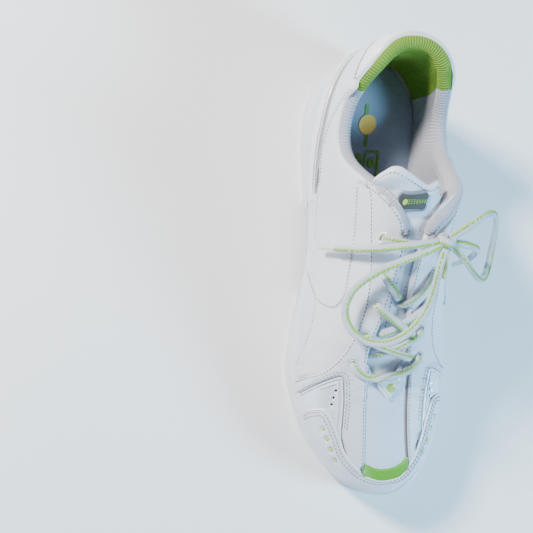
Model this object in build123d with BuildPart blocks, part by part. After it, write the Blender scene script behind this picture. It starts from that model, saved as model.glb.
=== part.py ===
"""Bowling shoe, left foot: a cemented athletic shoe with a laced leather upper.

Frame: millimetres, +Z up, +X to the lateral (outer) side, heel towards +Y and toe towards -Y.
The origin is the bottom centre of the outsole. Lengths along the shoe are given as stations,
measured forwards from the back of the heel.
"""
from build123d import *
import math
import os

# ---------------------------------------------------------------- driving dimensions
SOLE_LENGTH = 292.0          # back of heel to tip of toe
LEATHER = 1.8                # thickness of the upper's outer panels
LINING = 1.2                 # thickness of the vamp and quarter linings
FOAM = 5.0                   # collar padding
COUNTER = 1.4                # moulded heel counter
LACE = 5.0                   # width of the lace
LACE_LIFT = 2.2              # laced stretches: height of the lace's middle above the leather
TONGUE = 4.0                 # tongue thickness
HINGE_STATION = 112.0        # the tongue's free top bends about this line
TONGUE_GAP = 3.0             # clear strip between the tongue's fixed and free parts
BIG = 400.0                  # reach of cutting blocks
SIDES = ("medial", "lateral")

# Sections of the upper: station, lateral and medial half width, height of the feather line,
# ridge x, ridge height, roundness (2 = ellipse, larger = squarer shoulders)
LAST = [
    (3, 6.5, 2.5, 50, 2.5, 84, 2.6),
    (5, 15, 8.5, 49, 2.5, 102, 2.8),
    (9, 22.5, 14.5, 48.5, 2.5, 117, 3.0),
    (16, 29, 20.5, 48, 2.5, 127, 3.2),
    (28, 35.5, 27.5, 47, 2.5, 132, 3.4),
    (45, 39.5, 32.5, 43, 2.3, 133, 3.5),
    (65, 40.5, 34.5, 34.5, 2, 130, 3.4),
    (90, 39.5, 34, 25.5, 1, 121, 3.1),
    (115, 39, 34, 21, -1, 109, 2.7),
    (140, 41, 37, 20, -3, 95, 2.45),
    (165, 45, 43.5, 20, -4.5, 82, 2.35),
    (190, 47.5, 49.5, 20.5, -5.5, 70, 2.3),
    (208, 47.5, 51, 21, -5.5, 62.5, 2.3),
    (225, 45.5, 49, 21.5, -5, 56.5, 2.3),
    (240, 42.5, 44.5, 22.5, -4, 52, 2.35),
    (254, 38, 38.5, 23.5, -3, 48.5, 2.4),
    (266, 32, 30.5, 24.5, -2, 45.5, 2.45),
    (275, 25, 22, 25.5, -1, 42, 2.4),
    (282, 15.5, 13, 26.5, 0, 38, 2.3),
    (286, 6.5, 4, 27.5, 1, 34, 2.1),
]
SKIRT = 9.0                  # the rough block reaches this far below the feather line
SECTION_STEPS = 12           # points round half of a section, less one

# Plan of the sole: x and station, from the back of the heel round the medial side
SOLE_PLAN = [
    (3, 0), (-19, 15), (-32, 40), (-35, 76), (-35.5, 120), (-43, 160), (-52, 194), (-52.5, 216),
    (-46, 244), (-33, 267), (-17, 284), (3.5, 292), (24, 285.5), (40, 267), (49, 240), (53, 208),
    (50, 170), (44, 134), (41, 96), (41, 56), (37, 28), (22, 7.5),
]
# Levels of the sole's wall: height, and how far the wall stands in from the plan
SOLE_WALL = [(0, 3.0), (12, 0.0), (30, 2.0), (52, 6.5)]
TREAD = 3.0                  # thickness of the rubber outsoles

# Side profiles: station, height
TOPLINE = [(-8, 108), (2, 104), (12, 101.5), (24, 95), (36, 84), (48, 73), (62, 69.5), (75, 73.5),
           (87, 89), (96, 102.5), (104, 108), (114, 108.5), (126, 106)]
SILVER_TOP = [(-8, 58), (16, 57), (28, 56), (47, 51), (67, 41.5), (87, 31.5), (108, 25.5),
              (124, 23.5), (140, 26.5), (155, 33), (168, 36.5), (180, 35.5), (192, 29), (206, 17)]
HEEL_SEAM = [(33, 110), (35.5, 84), (39, 76), (45, 68), (56, 56), (68, 47), (84, 41), (96, 24)]
HEEL_TAB_SEAM = [(-8, 77), (8, 78.5), (20, 81.5), (34, 83.5)]
LEAF_TOP = [(80, 97), (91, 88), (110, 83), (130, 77), (146, 73.5), (158, 69), (167, 62), (168, 55)]
LEAF_FRONT = [(160, 46), (148, 34.5), (136, 26), (126, 20)]
TOP_BLOCK = [(4, 25), (40, 22), (80, 17), (108, 14)]
TOE_SPRING = [(228, 0), (250, 1.2), (272, 4.4), (296, 10.5)]

# Plans of the top panels: x and station
THROAT = [(-27, 90), (-21, 99), (-15, 107), (-10.5, 115), (-8, 126), (-9.5, 142), (-12, 160),
          (-16.5, 180), (-20, 192), (-20.5, 202), (-15, 209), (-6, 211), (1, 207.5), (4, 199),
          (4.8, 190), (3, 178), (0.5, 165), (0, 150), (1, 136), (3, 125), (6.5, 115), (12, 107),
          (20, 99), (29, 90)]
MUDGUARD_EDGE = [(-70, 232.5), (-49, 231.5), (-44, 229.5), (-41, 230), (-38, 234.5), (-33, 247),
                 (-28.5, 258.5), (-17.5, 271.5), (-4, 277.5), (8, 276.5), (14.5, 270), (22.5, 254),
                 (28, 235), (33, 226.5), (40, 226), (70, 228)]
STRIP_BACK = [(-17, 266), (-9, 269.5), (0, 270), (8, 267.5), (13.5, 262.5)]
VAMP_LEFT = [(-19.5, 200), (-18.5, 231), (-17.3, 253), (-17, 266)]
VAMP_RIGHT = [(8.5, 200), (9.7, 233.5), (12.2, 260), (13.5, 262.5)]
EYESTAY_MEDIAL = [(-31, 84), (-28, 97), (-25.7, 122), (-24.7, 142), (-25.5, 162), (-28, 177),
                  (-31.5, 188), (-37, 198), (-45, 206), (-56, 212)]
WINDOW_MEDIAL = [(-60, 221), (-41.5, 210.5), (-36, 208.5), (-33.5, 211.5), (-31.7, 243), (-33, 247)]
EYESTAY_LATERAL = [(30, 84), (28, 97), (25, 122), (24, 142), (23, 162), (22.5, 175), (25, 188),
                   (30, 198), (39, 206), (56, 214)]
WINDOW_LATERAL = [(60, 222), (36, 211), (26, 207), (23, 210), (22.5, 240), (24, 247)]

# Laced stretches: x and station of the eyelets, top row first
EYELETS = {
    "medial": [(-20.6, 125), (-18.6, 145.8), (-19.9, 164.2), (-23.6, 183), (-28.8, 200.5)],
    "lateral": [(16.5, 126), (14.5, 146), (13.2, 164.5), (13.2, 181.5), (14.6, 198.5)],
}
EYELET_HOLE = 4.0
THROAT_MIDDLE = [(-3, 125), (-5, 146), (-6, 164), (-7.5, 182), (-8, 199)]

# Free laces: the points of each route, x, station, z
KNOT = (14.5, 129.5, 107.0)
LOOP_A = [(11, 131, 107.5), (-1, 135.5, 110), (-14, 139.5, 107.5), (-27, 145, 98),
          (-38, 154, 87), (-43, 167, 81), (-39, 180, 81), (-28, 188.5, 84), (-15, 188, 89),
          (-3, 181, 93), (5, 169.5, 97.5), (8, 156, 103), (9, 144, 108), (13, 134, 108.5)]
LOOP_B = [(17, 127.5, 107.5), (29.5, 121, 109), (43.5, 113.5, 106), (56, 112.5, 96), (63, 120, 84.5),
          (64, 133.5, 76.5), (59, 147.5, 78), (49, 154, 88), (38, 149.5, 98), (28, 139.5, 104),
          (18.5, 131.5, 106)]
END_A = [(11, 129, 107), (-3, 130.5, 110.5), (-16, 131.5, 107.5), (-27.5, 132, 98.5),
         (-36, 131, 86), (-40.5, 129.5, 70)]
END_B = [(18, 130, 105), (30, 131.5, 104.5), (41.5, 134, 97), (48, 137, 84.5), (50, 140, 69.5)]
AGLET_A_TIP = (-43.4, 127.6, 48.5)
AGLET_B_TIP = (50.6, 142.8, 48)

os.makedirs("parts", exist_ok=True)


# ---------------------------------------------------------------- helpers
def y_at(station):
    """Y of a station."""
    return SOLE_LENGTH / 2 - station


def last_at(station):
    """The upper's section values at any station, smoothly between the rows of LAST."""
    station = min(max(station, LAST[0][0]), LAST[-1][0])
    k = max(i for i in range(len(LAST) - 1) if LAST[i][0] <= station)
    rows = [LAST[max(k - 1, 0)], LAST[k], LAST[k + 1], LAST[min(k + 2, len(LAST) - 1)]]
    (s0, *a), (s1, *b), (s2, *c), (s3, *d) = rows
    step = s2 - s1
    t = (station - s1) / step
    values = []
    for v0, v1, v2, v3 in zip(a, b, c, d):
        m1 = step * (v2 - v0) / (s2 - s0)
        m2 = step * (v3 - v1) / (s3 - s1)
        rise = 3 * t * t - 2 * t ** 3
        values.append(v1 * (1 - rise) + v2 * rise + m1 * (t - 2 * t * t + t ** 3) + m2 * (t ** 3 - t * t))
    return values


def on_upper(x, station, lift=0.0):
    """The point of the upper's outer surface at x and station, raised along its normal."""
    def height(px, ps):
        lateral, medial, feather, ridge, top, power = last_at(ps)
        half = lateral - ridge if px > ridge else ridge + medial
        ratio = min(abs(px - ridge) / half, 0.995)
        return feather + (top - feather) * (1 - ratio ** power) ** (1 / power)
    z = height(x, station)
    slope_x = (height(x + 0.5, station) - height(x - 0.5, station)) / 1.0
    slope_y = (height(x, station - 0.5) - height(x, station + 0.5)) / 1.0
    normal = Vector(-slope_x, -slope_y, 1).normalized()
    return Vector(x, y_at(station), z) + normal * lift, normal


def even_spline(points, periodic=False):
    """A smooth edge through points with evenly spaced knots, so that lofted sections share them."""
    spans = len(points) if periodic else len(points) - 1
    knots = [k / spans for k in range(spans + 1)]
    return Edge.make_spline([Vector(*p) for p in points], periodic=periodic, parameters=knots)


def upper_block(inset):
    """A solid last: the upper's outer surface brought in by inset, with a skirt below."""
    first, final = LAST[0][0], LAST[-1][0]
    squeeze = (final - first - 2 * inset) / (final - first)
    with BuildPart() as block:
        for station, lateral, medial, feather, ridge, top, power in LAST:
            place = first + inset + (station - first) * squeeze
            left = (ridge + medial) * (1 - inset / max(ridge + medial, 22))
            right = (lateral - ridge) * (1 - inset / max(lateral - ridge, 22))
            rise = (top - feather) * (1 - inset / max(top - feather, 22))
            points = []
            for k in range(SECTION_STEPS + 1):
                angle = math.pi * k / SECTION_STEPS
                c, s = math.cos(angle), math.sin(angle)
                radius = (abs(c) ** power + abs(s) ** power) ** (-1 / power)
                half = right if c > 0 else left
                points.append((ridge + half * radius * c, feather + rise * radius * s))
            low = feather - SKIRT
            with BuildSketch(Plane.XZ.offset(-y_at(place))):
                with BuildLine():
                    add(even_spline(points))
                    Line(points[-1], (points[-1][0], low))
                    Line((points[-1][0], low), (points[0][0], low))
                    Line((points[0][0], low), points[0])
                make_face()
        loft()
    return block.part


def side_prism(points):
    """Everything across the shoe inside a closed outline given as stations and heights."""
    with BuildPart() as prism:
        with BuildSketch(Plane.YZ):
            with BuildLine():
                Polyline(*[(y_at(s), z) for s, z in points], close=True)
            make_face()
        extrude(amount=BIG / 2, both=True)
    return prism.part


def curved_side_prism(curve, corners):
    """A side prism with one smooth edge through curve, closed through the square corners."""
    with BuildPart() as prism:
        with BuildSketch(Plane.YZ):
            with BuildLine():
                Spline(*[(y_at(s), z) for s, z in curve])
                Polyline(*[(y_at(s), z) for s, z in [curve[-1], *corners, curve[0]]])
            make_face()
        extrude(amount=BIG / 2, both=True)
    return prism.part


def plan_prism(points):
    """Everything above and below a closed outline given as x and stations."""
    with BuildPart() as prism:
        with BuildSketch(Plane.XY):
            with BuildLine():
                Polyline(*[(x, y_at(s)) for x, s in points], close=True)
            make_face()
        extrude(amount=BIG / 2)
    return prism.part


def span(side=None, start=-BIG, end=BIG, low=-BIG, high=BIG):
    """A block between two stations and two heights, over the whole width or one side."""
    x0, x1 = (-BIG, 0) if side == "medial" else (0, BIG) if side == "lateral" else (-BIG, BIG)
    with BuildPart() as block:
        with BuildSketch(Plane.XY.offset(low)):
            with Locations(((x0 + x1) / 2, (y_at(start) + y_at(end)) / 2)):
                Rectangle(x1 - x0, end - start)
        extrude(amount=high - low)
    return block.part


def biggest(shape, keep=1):
    """The largest solids of a boolean result, without slivers."""
    solids = sorted(shape.solids(), key=lambda s: s.volume, reverse=True)
    return solids[0] if keep == 1 else Compound(solids[:keep])


def save(name, *shapes):
    """One node: its solids in one labelled part, written as a STEP file."""
    with BuildPart() as piece:
        for shape in shapes:
            add(shape)
    piece.part.label = name
    export_step(piece.part, f"parts/{name}.step")
    return piece.part


# ---------------------------------------------------------------- rough shapes of the upper
below_feather = curved_side_prism([(s, f) for s, _, _, f, *_ in [(-6, 0, 0, 50), *LAST, (298, 0, 0, 28.5)]],
                                  [(298, -50), (-6, -50)])
above_topline = curved_side_prism(TOPLINE, [(126, BIG / 2), (-8, BIG / 2)])
throat = plan_prism(THROAT)
opening = above_topline + throat

layers = [LEATHER, LEATHER + LINING, LEATHER + COUNTER, LEATHER + COUNTER + FOAM,
          LEATHER + COUNTER + FOAM + LINING]
outer = upper_block(0)
inside_leather, inside_lining, inside_counter, inside_foam, inside_collar = [upper_block(t) for t in layers]
shell = outer - inside_leather - below_feather - opening


class Upper:
    """The outer shell while panels are cut out of it, one after another."""
    left = shell

    @classmethod
    def take(cls, cutter, keep=1):
        panel = cls.left & cutter
        cls.left = cls.left - cutter
        return biggest(panel, keep)


# ---------------------------------------------------------------- silver trim under the upper
silver = curved_side_prism(SILVER_TOP, [(206, -50), (-8, -50)])
ARCH_START = 121.0
for side in SIDES:
    save(f"silver_arch_{side}", Upper.take(silver & span(side, start=ARCH_START)))
save("silver_heel_band", Upper.take(silver))

# ---------------------------------------------------------------- toe
mudguard_zone = plan_prism([*MUDGUARD_EDGE, (70, 310), (-70, 310)])
mudguard = Upper.take(mudguard_zone)
strip = Upper.take(plan_prism([*STRIP_BACK, (20, 262), (20, 300), (-30, 300), (-30, 266)])
                   & plan_prism([(-17, 200), (-17, 300), (15, 300), (15, 200)]))
save("toe_strip", strip)
vamp = Upper.take(plan_prism([*VAMP_LEFT, (-9, 269.5), (0, 270), (8, 267.5), *reversed(VAMP_RIGHT)]))

PLUG = 2.6                   # diameter of the green plugs in the mudguard
PLUG_DEPTH = 1.9
PLUG_PLACES = {"medial": [(-40.3, 242), (-37.9, 248.6), (-35, 255.7), (-31.4, 263)],
               "lateral": [(35.5, 240), (32.5, 247.5), (29, 255), (24.5, 262)]}
plugs = []
for side in SIDES:
    for x, station in PLUG_PLACES[side]:
        centre, normal = on_upper(x, station, 0.4)
        with BuildPart(Plane(centre, z_dir=normal)) as plug:
            Cylinder(PLUG / 2, PLUG_DEPTH, align=(Align.CENTER, Align.CENTER, Align.MAX))
        plugs.append(plug.part)
for plug in plugs:
    mudguard = mudguard - plug
save("mudguard", biggest(mudguard))
save("mudguard_plugs", *plugs)

# ---------------------------------------------------------------- windows and eyestays
PERFORATION = 1.8
PERFORATIONS = {"medial": [(-36.9, 218), (-37.8, 222.5), (-38.4, 226.8)],
                "lateral": [(28.4, 217), (29.4, 221.5), (29.8, 226)]}
windows = {"medial": WINDOW_MEDIAL + [(-45, 247), (-60, 247)],
           "lateral": WINDOW_LATERAL + [(40, 247), (60, 247)]}
for side in SIDES:
    pane = Upper.take(plan_prism(windows[side]))
    for x, station in PERFORATIONS[side]:
        centre, normal = on_upper(x, station)
        with BuildPart(Plane(centre, z_dir=normal)) as hole:
            Cylinder(PERFORATION / 2, 12)
        pane = pane - hole.part
    save(f"window_{side}", biggest(pane))

eyestays = {"medial": EYESTAY_MEDIAL + [(-56, 260), (-4, 280), (-4, 84)],
            "lateral": EYESTAY_LATERAL + [(56, 260), (1, 280), (1, 84)]}
holes = {side: [] for side in SIDES}
for side in SIDES:
    for x, station in EYELETS[side]:
        centre, normal = on_upper(x, station)
        with BuildPart(Plane(centre, z_dir=normal)) as hole:
            Cylinder(EYELET_HOLE / 2, 14)
        holes[side].append(hole.part)
for side in SIDES:
    stay = Upper.take(plan_prism(eyestays[side]))
    for hole in holes[side]:
        stay = stay - hole
    save(f"eyestay_{side}", biggest(stay))
save("vamp_panel", vamp)

# ---------------------------------------------------------------- heel and side panels
heel_zone = curved_side_prism(HEEL_SEAM, [(96, 10), (-20, 10), (-20, 110)])
tab_zone = curved_side_prism(HEEL_TAB_SEAM, [(34, 120), (-8, 120)])
save("heel_tab", Upper.take(tab_zone & span(start=-20, end=34)))
save("heel_overlay", Upper.take(heel_zone))
leaf_zone = side_prism([*LEAF_TOP, *LEAF_FRONT, (20, 10), (20, 110), (76, 110)])
for side in SIDES:
    save(f"quarter_{side}", Upper.take(leaf_zone & span(side)))
for side in SIDES:
    save(f"side_panel_{side}", Upper.take(span(side)))

# ---------------------------------------------------------------- linings and stiffeners
TOE_PUFF_START = 252.0
LINING_START = 98.0          # the collar lining ends and the vamp lining begins here
GREEN_END = 34.0             # the green heel lining ends here
COUNTER_TOP = 74.0
FOAM_LOW = 52.0
cavity_shell = inside_leather - inside_lining - below_feather - opening
lining_zone = cavity_shell & span(start=LINING_START)
save("vamp_lining", biggest(lining_zone & span(start=205, end=TOE_PUFF_START)))
save("toe_puff", biggest(lining_zone & span(start=TOE_PUFF_START)))
for side in SIDES:
    stay_lining = lining_zone & span(side, end=205)
    for hole in holes[side]:
        stay_lining = stay_lining - hole
    save(f"eyestay_lining_{side}", biggest(stay_lining))

counter_zone = side_prism([(-20, 20), (-20, COUNTER_TOP), (48, COUNTER_TOP - 6), (72, 44), (74, 20)])
collar_shell = (inside_leather - inside_counter - below_feather - opening) & span(end=LINING_START)
save("heel_counter", biggest(collar_shell & counter_zone))
foam_zone = side_prism([(-20, FOAM_LOW), (-20, 130), (LINING_START, 130), (LINING_START, 56)])
foam_shell = inside_counter - inside_foam - below_feather - opening
save("collar_foam", biggest(foam_shell & foam_zone))
collar_lining = inside_foam - inside_collar - below_feather - opening
save("collar_lining_heel", biggest(collar_lining & span(end=GREEN_END)))
for side in SIDES:
    save(f"collar_lining_{side}", biggest(collar_lining & span(side, start=GREEN_END, end=LINING_START)))

# ---------------------------------------------------------------- tongue
TONGUE_HALF = 20.0           # half the width of the tongue's free top
TONGUE_CLEAR = 0.8           # between the tongue and the linings over it
TONGUE_TOP = 88.0            # station of the tongue's top edge
tongue_outer = upper_block(LEATHER + LINING + TONGUE_CLEAR)
tongue_inner = upper_block(LEATHER + LINING + TONGUE_CLEAR + TONGUE)
tongue_skin = tongue_outer - tongue_inner
half_gap = TONGUE_GAP / 2
fixed_plan = [(-19, HINGE_STATION + half_gap), (-22, 140), (-26, 170), (-30, 200), (-30, 224),
              (20, 224), (22, 200), (20, 170), (18, 140), (17, HINGE_STATION + half_gap)]
tongue_base = biggest(tongue_skin & plan_prism(fixed_plan) & span(low=40))
save("tongue_base", biggest(tongue_base & span(start=HINGE_STATION + half_gap)))
with BuildPart() as flap_plan:
    with BuildSketch(Plane.XY):
        with Locations((-1, y_at((TONGUE_TOP + HINGE_STATION - half_gap) / 2))):
            RectangleRounded(2 * TONGUE_HALF, HINGE_STATION - half_gap - TONGUE_TOP, 7.0)
        with Locations((-1, y_at(HINGE_STATION - half_gap - 4))):
            Rectangle(2 * TONGUE_HALF - 6, 8)
    extrude(amount=BIG / 2)
tongue_flap = biggest(tongue_skin & flap_plan.part & span(low=60))
label_centre, label_normal = on_upper(-7.6, 105.0, -LEATHER - LINING - TONGUE_CLEAR - 0.05)
LABEL = (20.0, 9.5, 0.45)    # width, height and thickness of the woven label
LABEL_SUNK = 1.0             # how far the label is let into the tongue
label_plane = Plane(label_centre, x_dir=(1, 0, 0), z_dir=label_normal)
with BuildPart() as label:
    with BuildSketch(label_plane.offset(-LABEL_SUNK)):
        RectangleRounded(LABEL[0], LABEL[1], 3.0)
    extrude(amount=LABEL_SUNK + LABEL[2])
woven = biggest(label.part & upper_block(LEATHER + LINING + TONGUE_CLEAR / 2))
tongue_flap = biggest(tongue_flap - woven)
save("tongue_flap", tongue_flap)
save("tongue_label", woven)

# ---------------------------------------------------------------- bottom unit
def sole_plan(inset):
    """The sole's plan brought in by inset."""
    count = len(SOLE_PLAN)
    points = [(x, y_at(s)) for x, s in SOLE_PLAN]
    moved = []
    for k in range(count):
        (ax, ay), (bx, by) = points[k - 1], points[(k + 1) % count]
        length = math.hypot(bx - ax, by - ay)
        moved.append((points[k][0] - inset * (by - ay) / length, points[k][1] + inset * (bx - ax) / length))
    return moved


with BuildPart() as sole_block:
    for height, inset in SOLE_WALL:
        with BuildSketch(Plane.XY.offset(height)):
            with BuildLine():
                add(even_spline(sole_plan(inset), periodic=True))
            make_face()
    loft()

BOARD = 2.0                  # insole board
toe_lift = curved_side_prism(TOE_SPRING, [(296, -50), (228, -50)])
heel_lift = curved_side_prism([(-6, 16), (3, 8.5), (12, 3), (24, 0)], [(24, -50), (-6, -50)])
unit = sole_block.part & below_feather
unit = unit - toe_lift
unit = unit - heel_lift

board_zone = below_feather - below_feather.moved(Location((0, 0, -BOARD)))
board = biggest(upper_block(1.0) & board_zone)
save("insole_board", board)
unit = biggest(unit - board)

heel_low = side_prism([(-10, TOP_BLOCK[0][1]), *TOP_BLOCK, (108, 13.9), (101, 7), (94, 0), (94, -50),
                       (-10, -50)])
waist_gap = side_prism([(94, -50), (94, 0), (101, 7), (108, 10.5), (140, 10.5), (150, 6), (158, 0),
                        (158, -50)])
PLATE = 2.4                  # thickness of the shank plate
plate_zone = side_prism([(101, 7), (108, 10.5), (140, 10.5), (150, 6), (152.5, 8.4), (142, 12.9),
                         (108, 12.9), (106, 11.6)])
unit = unit - waist_gap
tread_zone = span(high=TREAD)
front_lift = toe_lift.moved(Location((0, 0, TREAD)))
heel_back_lift = heel_lift.moved(Location((0, 0, TREAD)))
heel_all = unit & heel_low
front_zone = side_prism([(150, 6), (152.5, 8.4), (160, 11), (230, 11), (262, 14), (300, 21), (300, -50),
                         (140, -50)])
front_all = unit & front_zone
rubber_heel = (heel_all & tread_zone) + (heel_all & heel_back_lift)
rubber_front = (front_all & tread_zone) + (front_all & front_lift)
save("heel_outsole", biggest(rubber_heel))
save("heel_block", biggest(heel_all - tread_zone - heel_back_lift))
save("forefoot_outsole", biggest(rubber_front))
save("forefoot_block", biggest(front_all - tread_zone - front_lift))
midsole = unit - heel_low
midsole = midsole - front_zone
save("shank_plate", biggest(midsole & plate_zone))
save("midsole", biggest(midsole - plate_zone))

# ---------------------------------------------------------------- footbed
FOOTBED = 4.0
FOOTBED_EDGE = LEATHER + COUNTER + FOAM + LINING + 0.4
footbed_zone = below_feather.moved(Location((0, 0, FOOTBED + 0.2))) - below_feather.moved(Location((0, 0, 0.2)))
footbed = biggest(upper_block(FOOTBED_EDGE) & footbed_zone)
STICKER = (12.0, 0.6)        # diameter and thickness of the size sticker
sticker_place = (-3.5, 50.3)
sticker_z = last_at(sticker_place[1])[2] + FOOTBED + 0.2
slope = math.degrees(math.atan2(last_at(43.5)[2] - last_at(55.5)[2], 12.0))
sticker_plane = Plane((sticker_place[0], y_at(sticker_place[1]), sticker_z - 0.3)).rotated((slope, 0, 0))
with BuildPart(sticker_plane) as sticker:
    Cylinder(STICKER[0] / 2, 1.2, align=(Align.CENTER, Align.CENTER, Align.CENTER))
footbed = biggest(footbed - sticker.part)
save("footbed", footbed)
save("size_sticker", sticker.part)

# ---------------------------------------------------------------- small parts on the upper
RING = (7.0, 1.2)            # diameter and thickness of the top eyelets' rings
rings = []
for side in SIDES:
    x, station = EYELETS[side][0]
    centre, normal = on_upper(x, station, 0.1)
    with BuildPart(Plane(centre, z_dir=normal)) as ring:
        Cylinder(RING[0] / 2, RING[1], align=(Align.CENTER, Align.CENTER, Align.MIN))
        Hole(EYELET_HOLE / 2)
    rings.append(ring.part - outer)
save("top_eyelet_rings", *rings)

trim_outer = upper_block(-0.9)
trim_skin = trim_outer - outer - opening
heart = plan_prism([(-13.5, 212), (-12.5, 216), (-8.5, 221), (-5, 224), (-3.5, 223), (0, 218.5),
                    (2.2, 214), (2, 210.5), (-5.5, 209.5)])
tab = biggest(trim_skin & heart & span(low=45))
button_centre, button_normal = on_upper(-4.2, 216.8, 0.5)
with BuildPart(Plane(button_centre, z_dir=button_normal)) as button:
    Cylinder(2.9, 1.6, align=(Align.CENTER, Align.CENTER, Align.MIN))
    fillet(button.faces().sort_by(Axis.Z)[-1].edges(), 0.6)
save("throat_tab", biggest(tab - button.part))
save("throat_button", button.part)
tag_zone = side_prism([(134, 84), (151, 79), (151, 73), (134, 77.5)])
save("side_tag", biggest(trim_skin & tag_zone & span("lateral")))


def spiral(centre_station, centre_z, turns, first, pitch, line):
    """Side view of a spiral cord of half circles, as one flat strip of the line's width."""
    with BuildPart() as strip_prism:
        with BuildSketch(Plane.YZ):
            with BuildLine():
                y0 = y_at(centre_station)
                reach = y0 + first
                for k in range(2 * turns):
                    radius = first + pitch * k / 2
                    middle = reach - radius if k % 2 == 0 else reach + radius
                    way = 1 if k % 2 == 0 else -1
                    CenterArc((middle, centre_z), radius, 0 if way > 0 else 180, 180)
                    reach = middle - way * radius
            trace(line_width=line)
        extrude(amount=BIG / 2)
    return strip_prism.part


CORD_WIDTH = 1.5             # embroidered cord


def ring_prism(centre_station, centre_z, radius):
    """Side view of one closed loop of embroidered cord."""
    with BuildPart() as loop_prism:
        with BuildSketch(Plane.YZ):
            with Locations((y_at(centre_station), centre_z)):
                Circle(radius + CORD_WIDTH / 2)
                Circle(radius - CORD_WIDTH / 2, mode=Mode.SUBTRACT)
        extrude(amount=BIG / 2)
    return loop_prism.part


swirls = [spiral(89, 60, 3, 3.2, 4.4, CORD_WIDTH), ring_prism(127, 54, 10.5), ring_prism(145.5, 40, 5.5)]
save("swirl_embroidery", *[biggest(trim_skin & prism & span("lateral")) for prism in swirls])
save("heel_swirl", biggest(trim_skin & spiral(31, 65, 2, 1.8, 2.3, 1.1) & span("lateral")))


# ---------------------------------------------------------------- laces
def lace_tube(route, *cuts):
    """A free lace: straight runs joined by arcs as large as the runs allow, less what it meets."""
    points = [Vector(x, y_at(s), z) for x, s, z in route]
    radii = []
    for a, b, c in zip(points, points[1:], points[2:]):
        turn = (b - a).get_angle(c - b)
        run = min((b - a).length, (c - b).length)
        radii.append(0.45 * run / math.tan(math.radians(turn) / 2))
    print("  smallest arc %.1f" % min(radii))
    with BuildPart() as tube:
        with BuildLine() as path:
            FilletPolyline(*points, radius=radii)
        start = path.line @ 0
        with BuildSketch(Plane(start, z_dir=path.line % 0)):
            Circle(LACE / 2)
        sweep()
    print("  length %.1f" % path.wires()[0].length)
    lace = tube.part
    for cut in cuts:
        lace = biggest(lace - cut)
    return lace


knot_centre = Vector(KNOT[0], y_at(KNOT[1]), KNOT[2])
with BuildPart(Plane(knot_centre, z_dir=(0.25, 1, 0.1))) as knot:
    Cylinder(5.2, 12.0)
    fillet(knot.edges(), 3.4)
save("lace_knot", knot.part)
tubes = {}
for name, route, over in (("lace_loop_a", LOOP_A, None), ("lace_loop_b", LOOP_B, None),
                          ("lace_end_a", END_A, "lace_loop_a"), ("lace_end_b", END_B, "lace_loop_b")):
    print(name)
    cuts = [knot.part] if over is None else [knot.part, tubes[over]]
    tubes[name] = lace_tube(route, *cuts)
    save(name, tubes[name])

for name, route, tip in (("aglet_a", END_A, AGLET_A_TIP), ("aglet_b", END_B, AGLET_B_TIP)):
    base = Vector(route[-1][0], y_at(route[-1][1]), route[-1][2])
    end = Vector(tip[0], y_at(tip[1]), tip[2])
    with BuildPart(Plane(base, z_dir=end - base)) as aglet:
        Cylinder(LACE / 2 - 0.3, (end - base).length, align=(Align.CENTER, Align.CENTER, Align.MIN))
    save(name, biggest(aglet.part - tubes[name.replace("aglet", "lace_end")]))


def crossing(start, end, lift_end):
    """One laced stretch: out of an eyelet, over the eyestay's edge and down under the other side."""
    (x0, s0), (x1, s1) = start, end
    down = on_upper(x0, s0, 1.8)[0]
    up = on_upper(x0 + 0.22 * (x1 - x0), s0 + 0.22 * (s1 - s0), LACE_LIFT + 1.2)[0]
    over = on_upper(x0 + 0.62 * (x1 - x0), s0 + 0.62 * (s1 - s0), LACE_LIFT + 0.6)[0]
    under = on_upper(x1, s1, lift_end)[0]
    with BuildPart() as piece:
        with BuildLine() as path:
            FilletPolyline(down, up, over, under, radius=2.0)
        with BuildSketch(Plane(path.line @ 0, z_dir=path.line % 0)):
            Circle(1.6)
        sweep()
    return piece.part


rows = len(EYELETS["medial"])
laced = []
for row in range(rows - 1):
    middle_x, middle_s = THROAT_MIDDLE[row + 1]
    laced.append(crossing(EYELETS["medial"][row], (middle_x + 6.5, middle_s - 2), 2.4))
    laced.append(crossing(EYELETS["lateral"][row], (middle_x - 6.5, middle_s - 5.5), 2.4))
bottom = [on_upper(x, s, 2.4)[0] for x, s in ((-28.8, 200.5), (-21, 207.5), (-6, 208.5), (6, 206), (14.6, 198.5))]
with BuildPart() as bar:
    with BuildLine() as bar_path:
        FilletPolyline(*bottom, radius=4.0)
    with BuildSketch(Plane(bar_path.line @ 0, z_dir=bar_path.line % 0)):
        Circle(1.6)
    sweep()
for cut in (knot.part, *rings):
    laced = [biggest(piece - cut) for piece in laced]
save("lace_crossings", *laced, bar.part)
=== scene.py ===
"""Bowling shoe, left: the visible model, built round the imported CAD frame.

Lengths are in millimetres until a mesh is made, and a "station" is the distance from the back of
the heel, as in the CAD. The upper's surface is one smooth last, and every leather panel is an
outline on it, raised by its own thickness with a rounded edge.
"""
import bmesh
import math
import bpy
import numpy as np
from mathutils import Matrix, Vector
from mathutils.geometry import delaunay_2d_cdt


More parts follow.
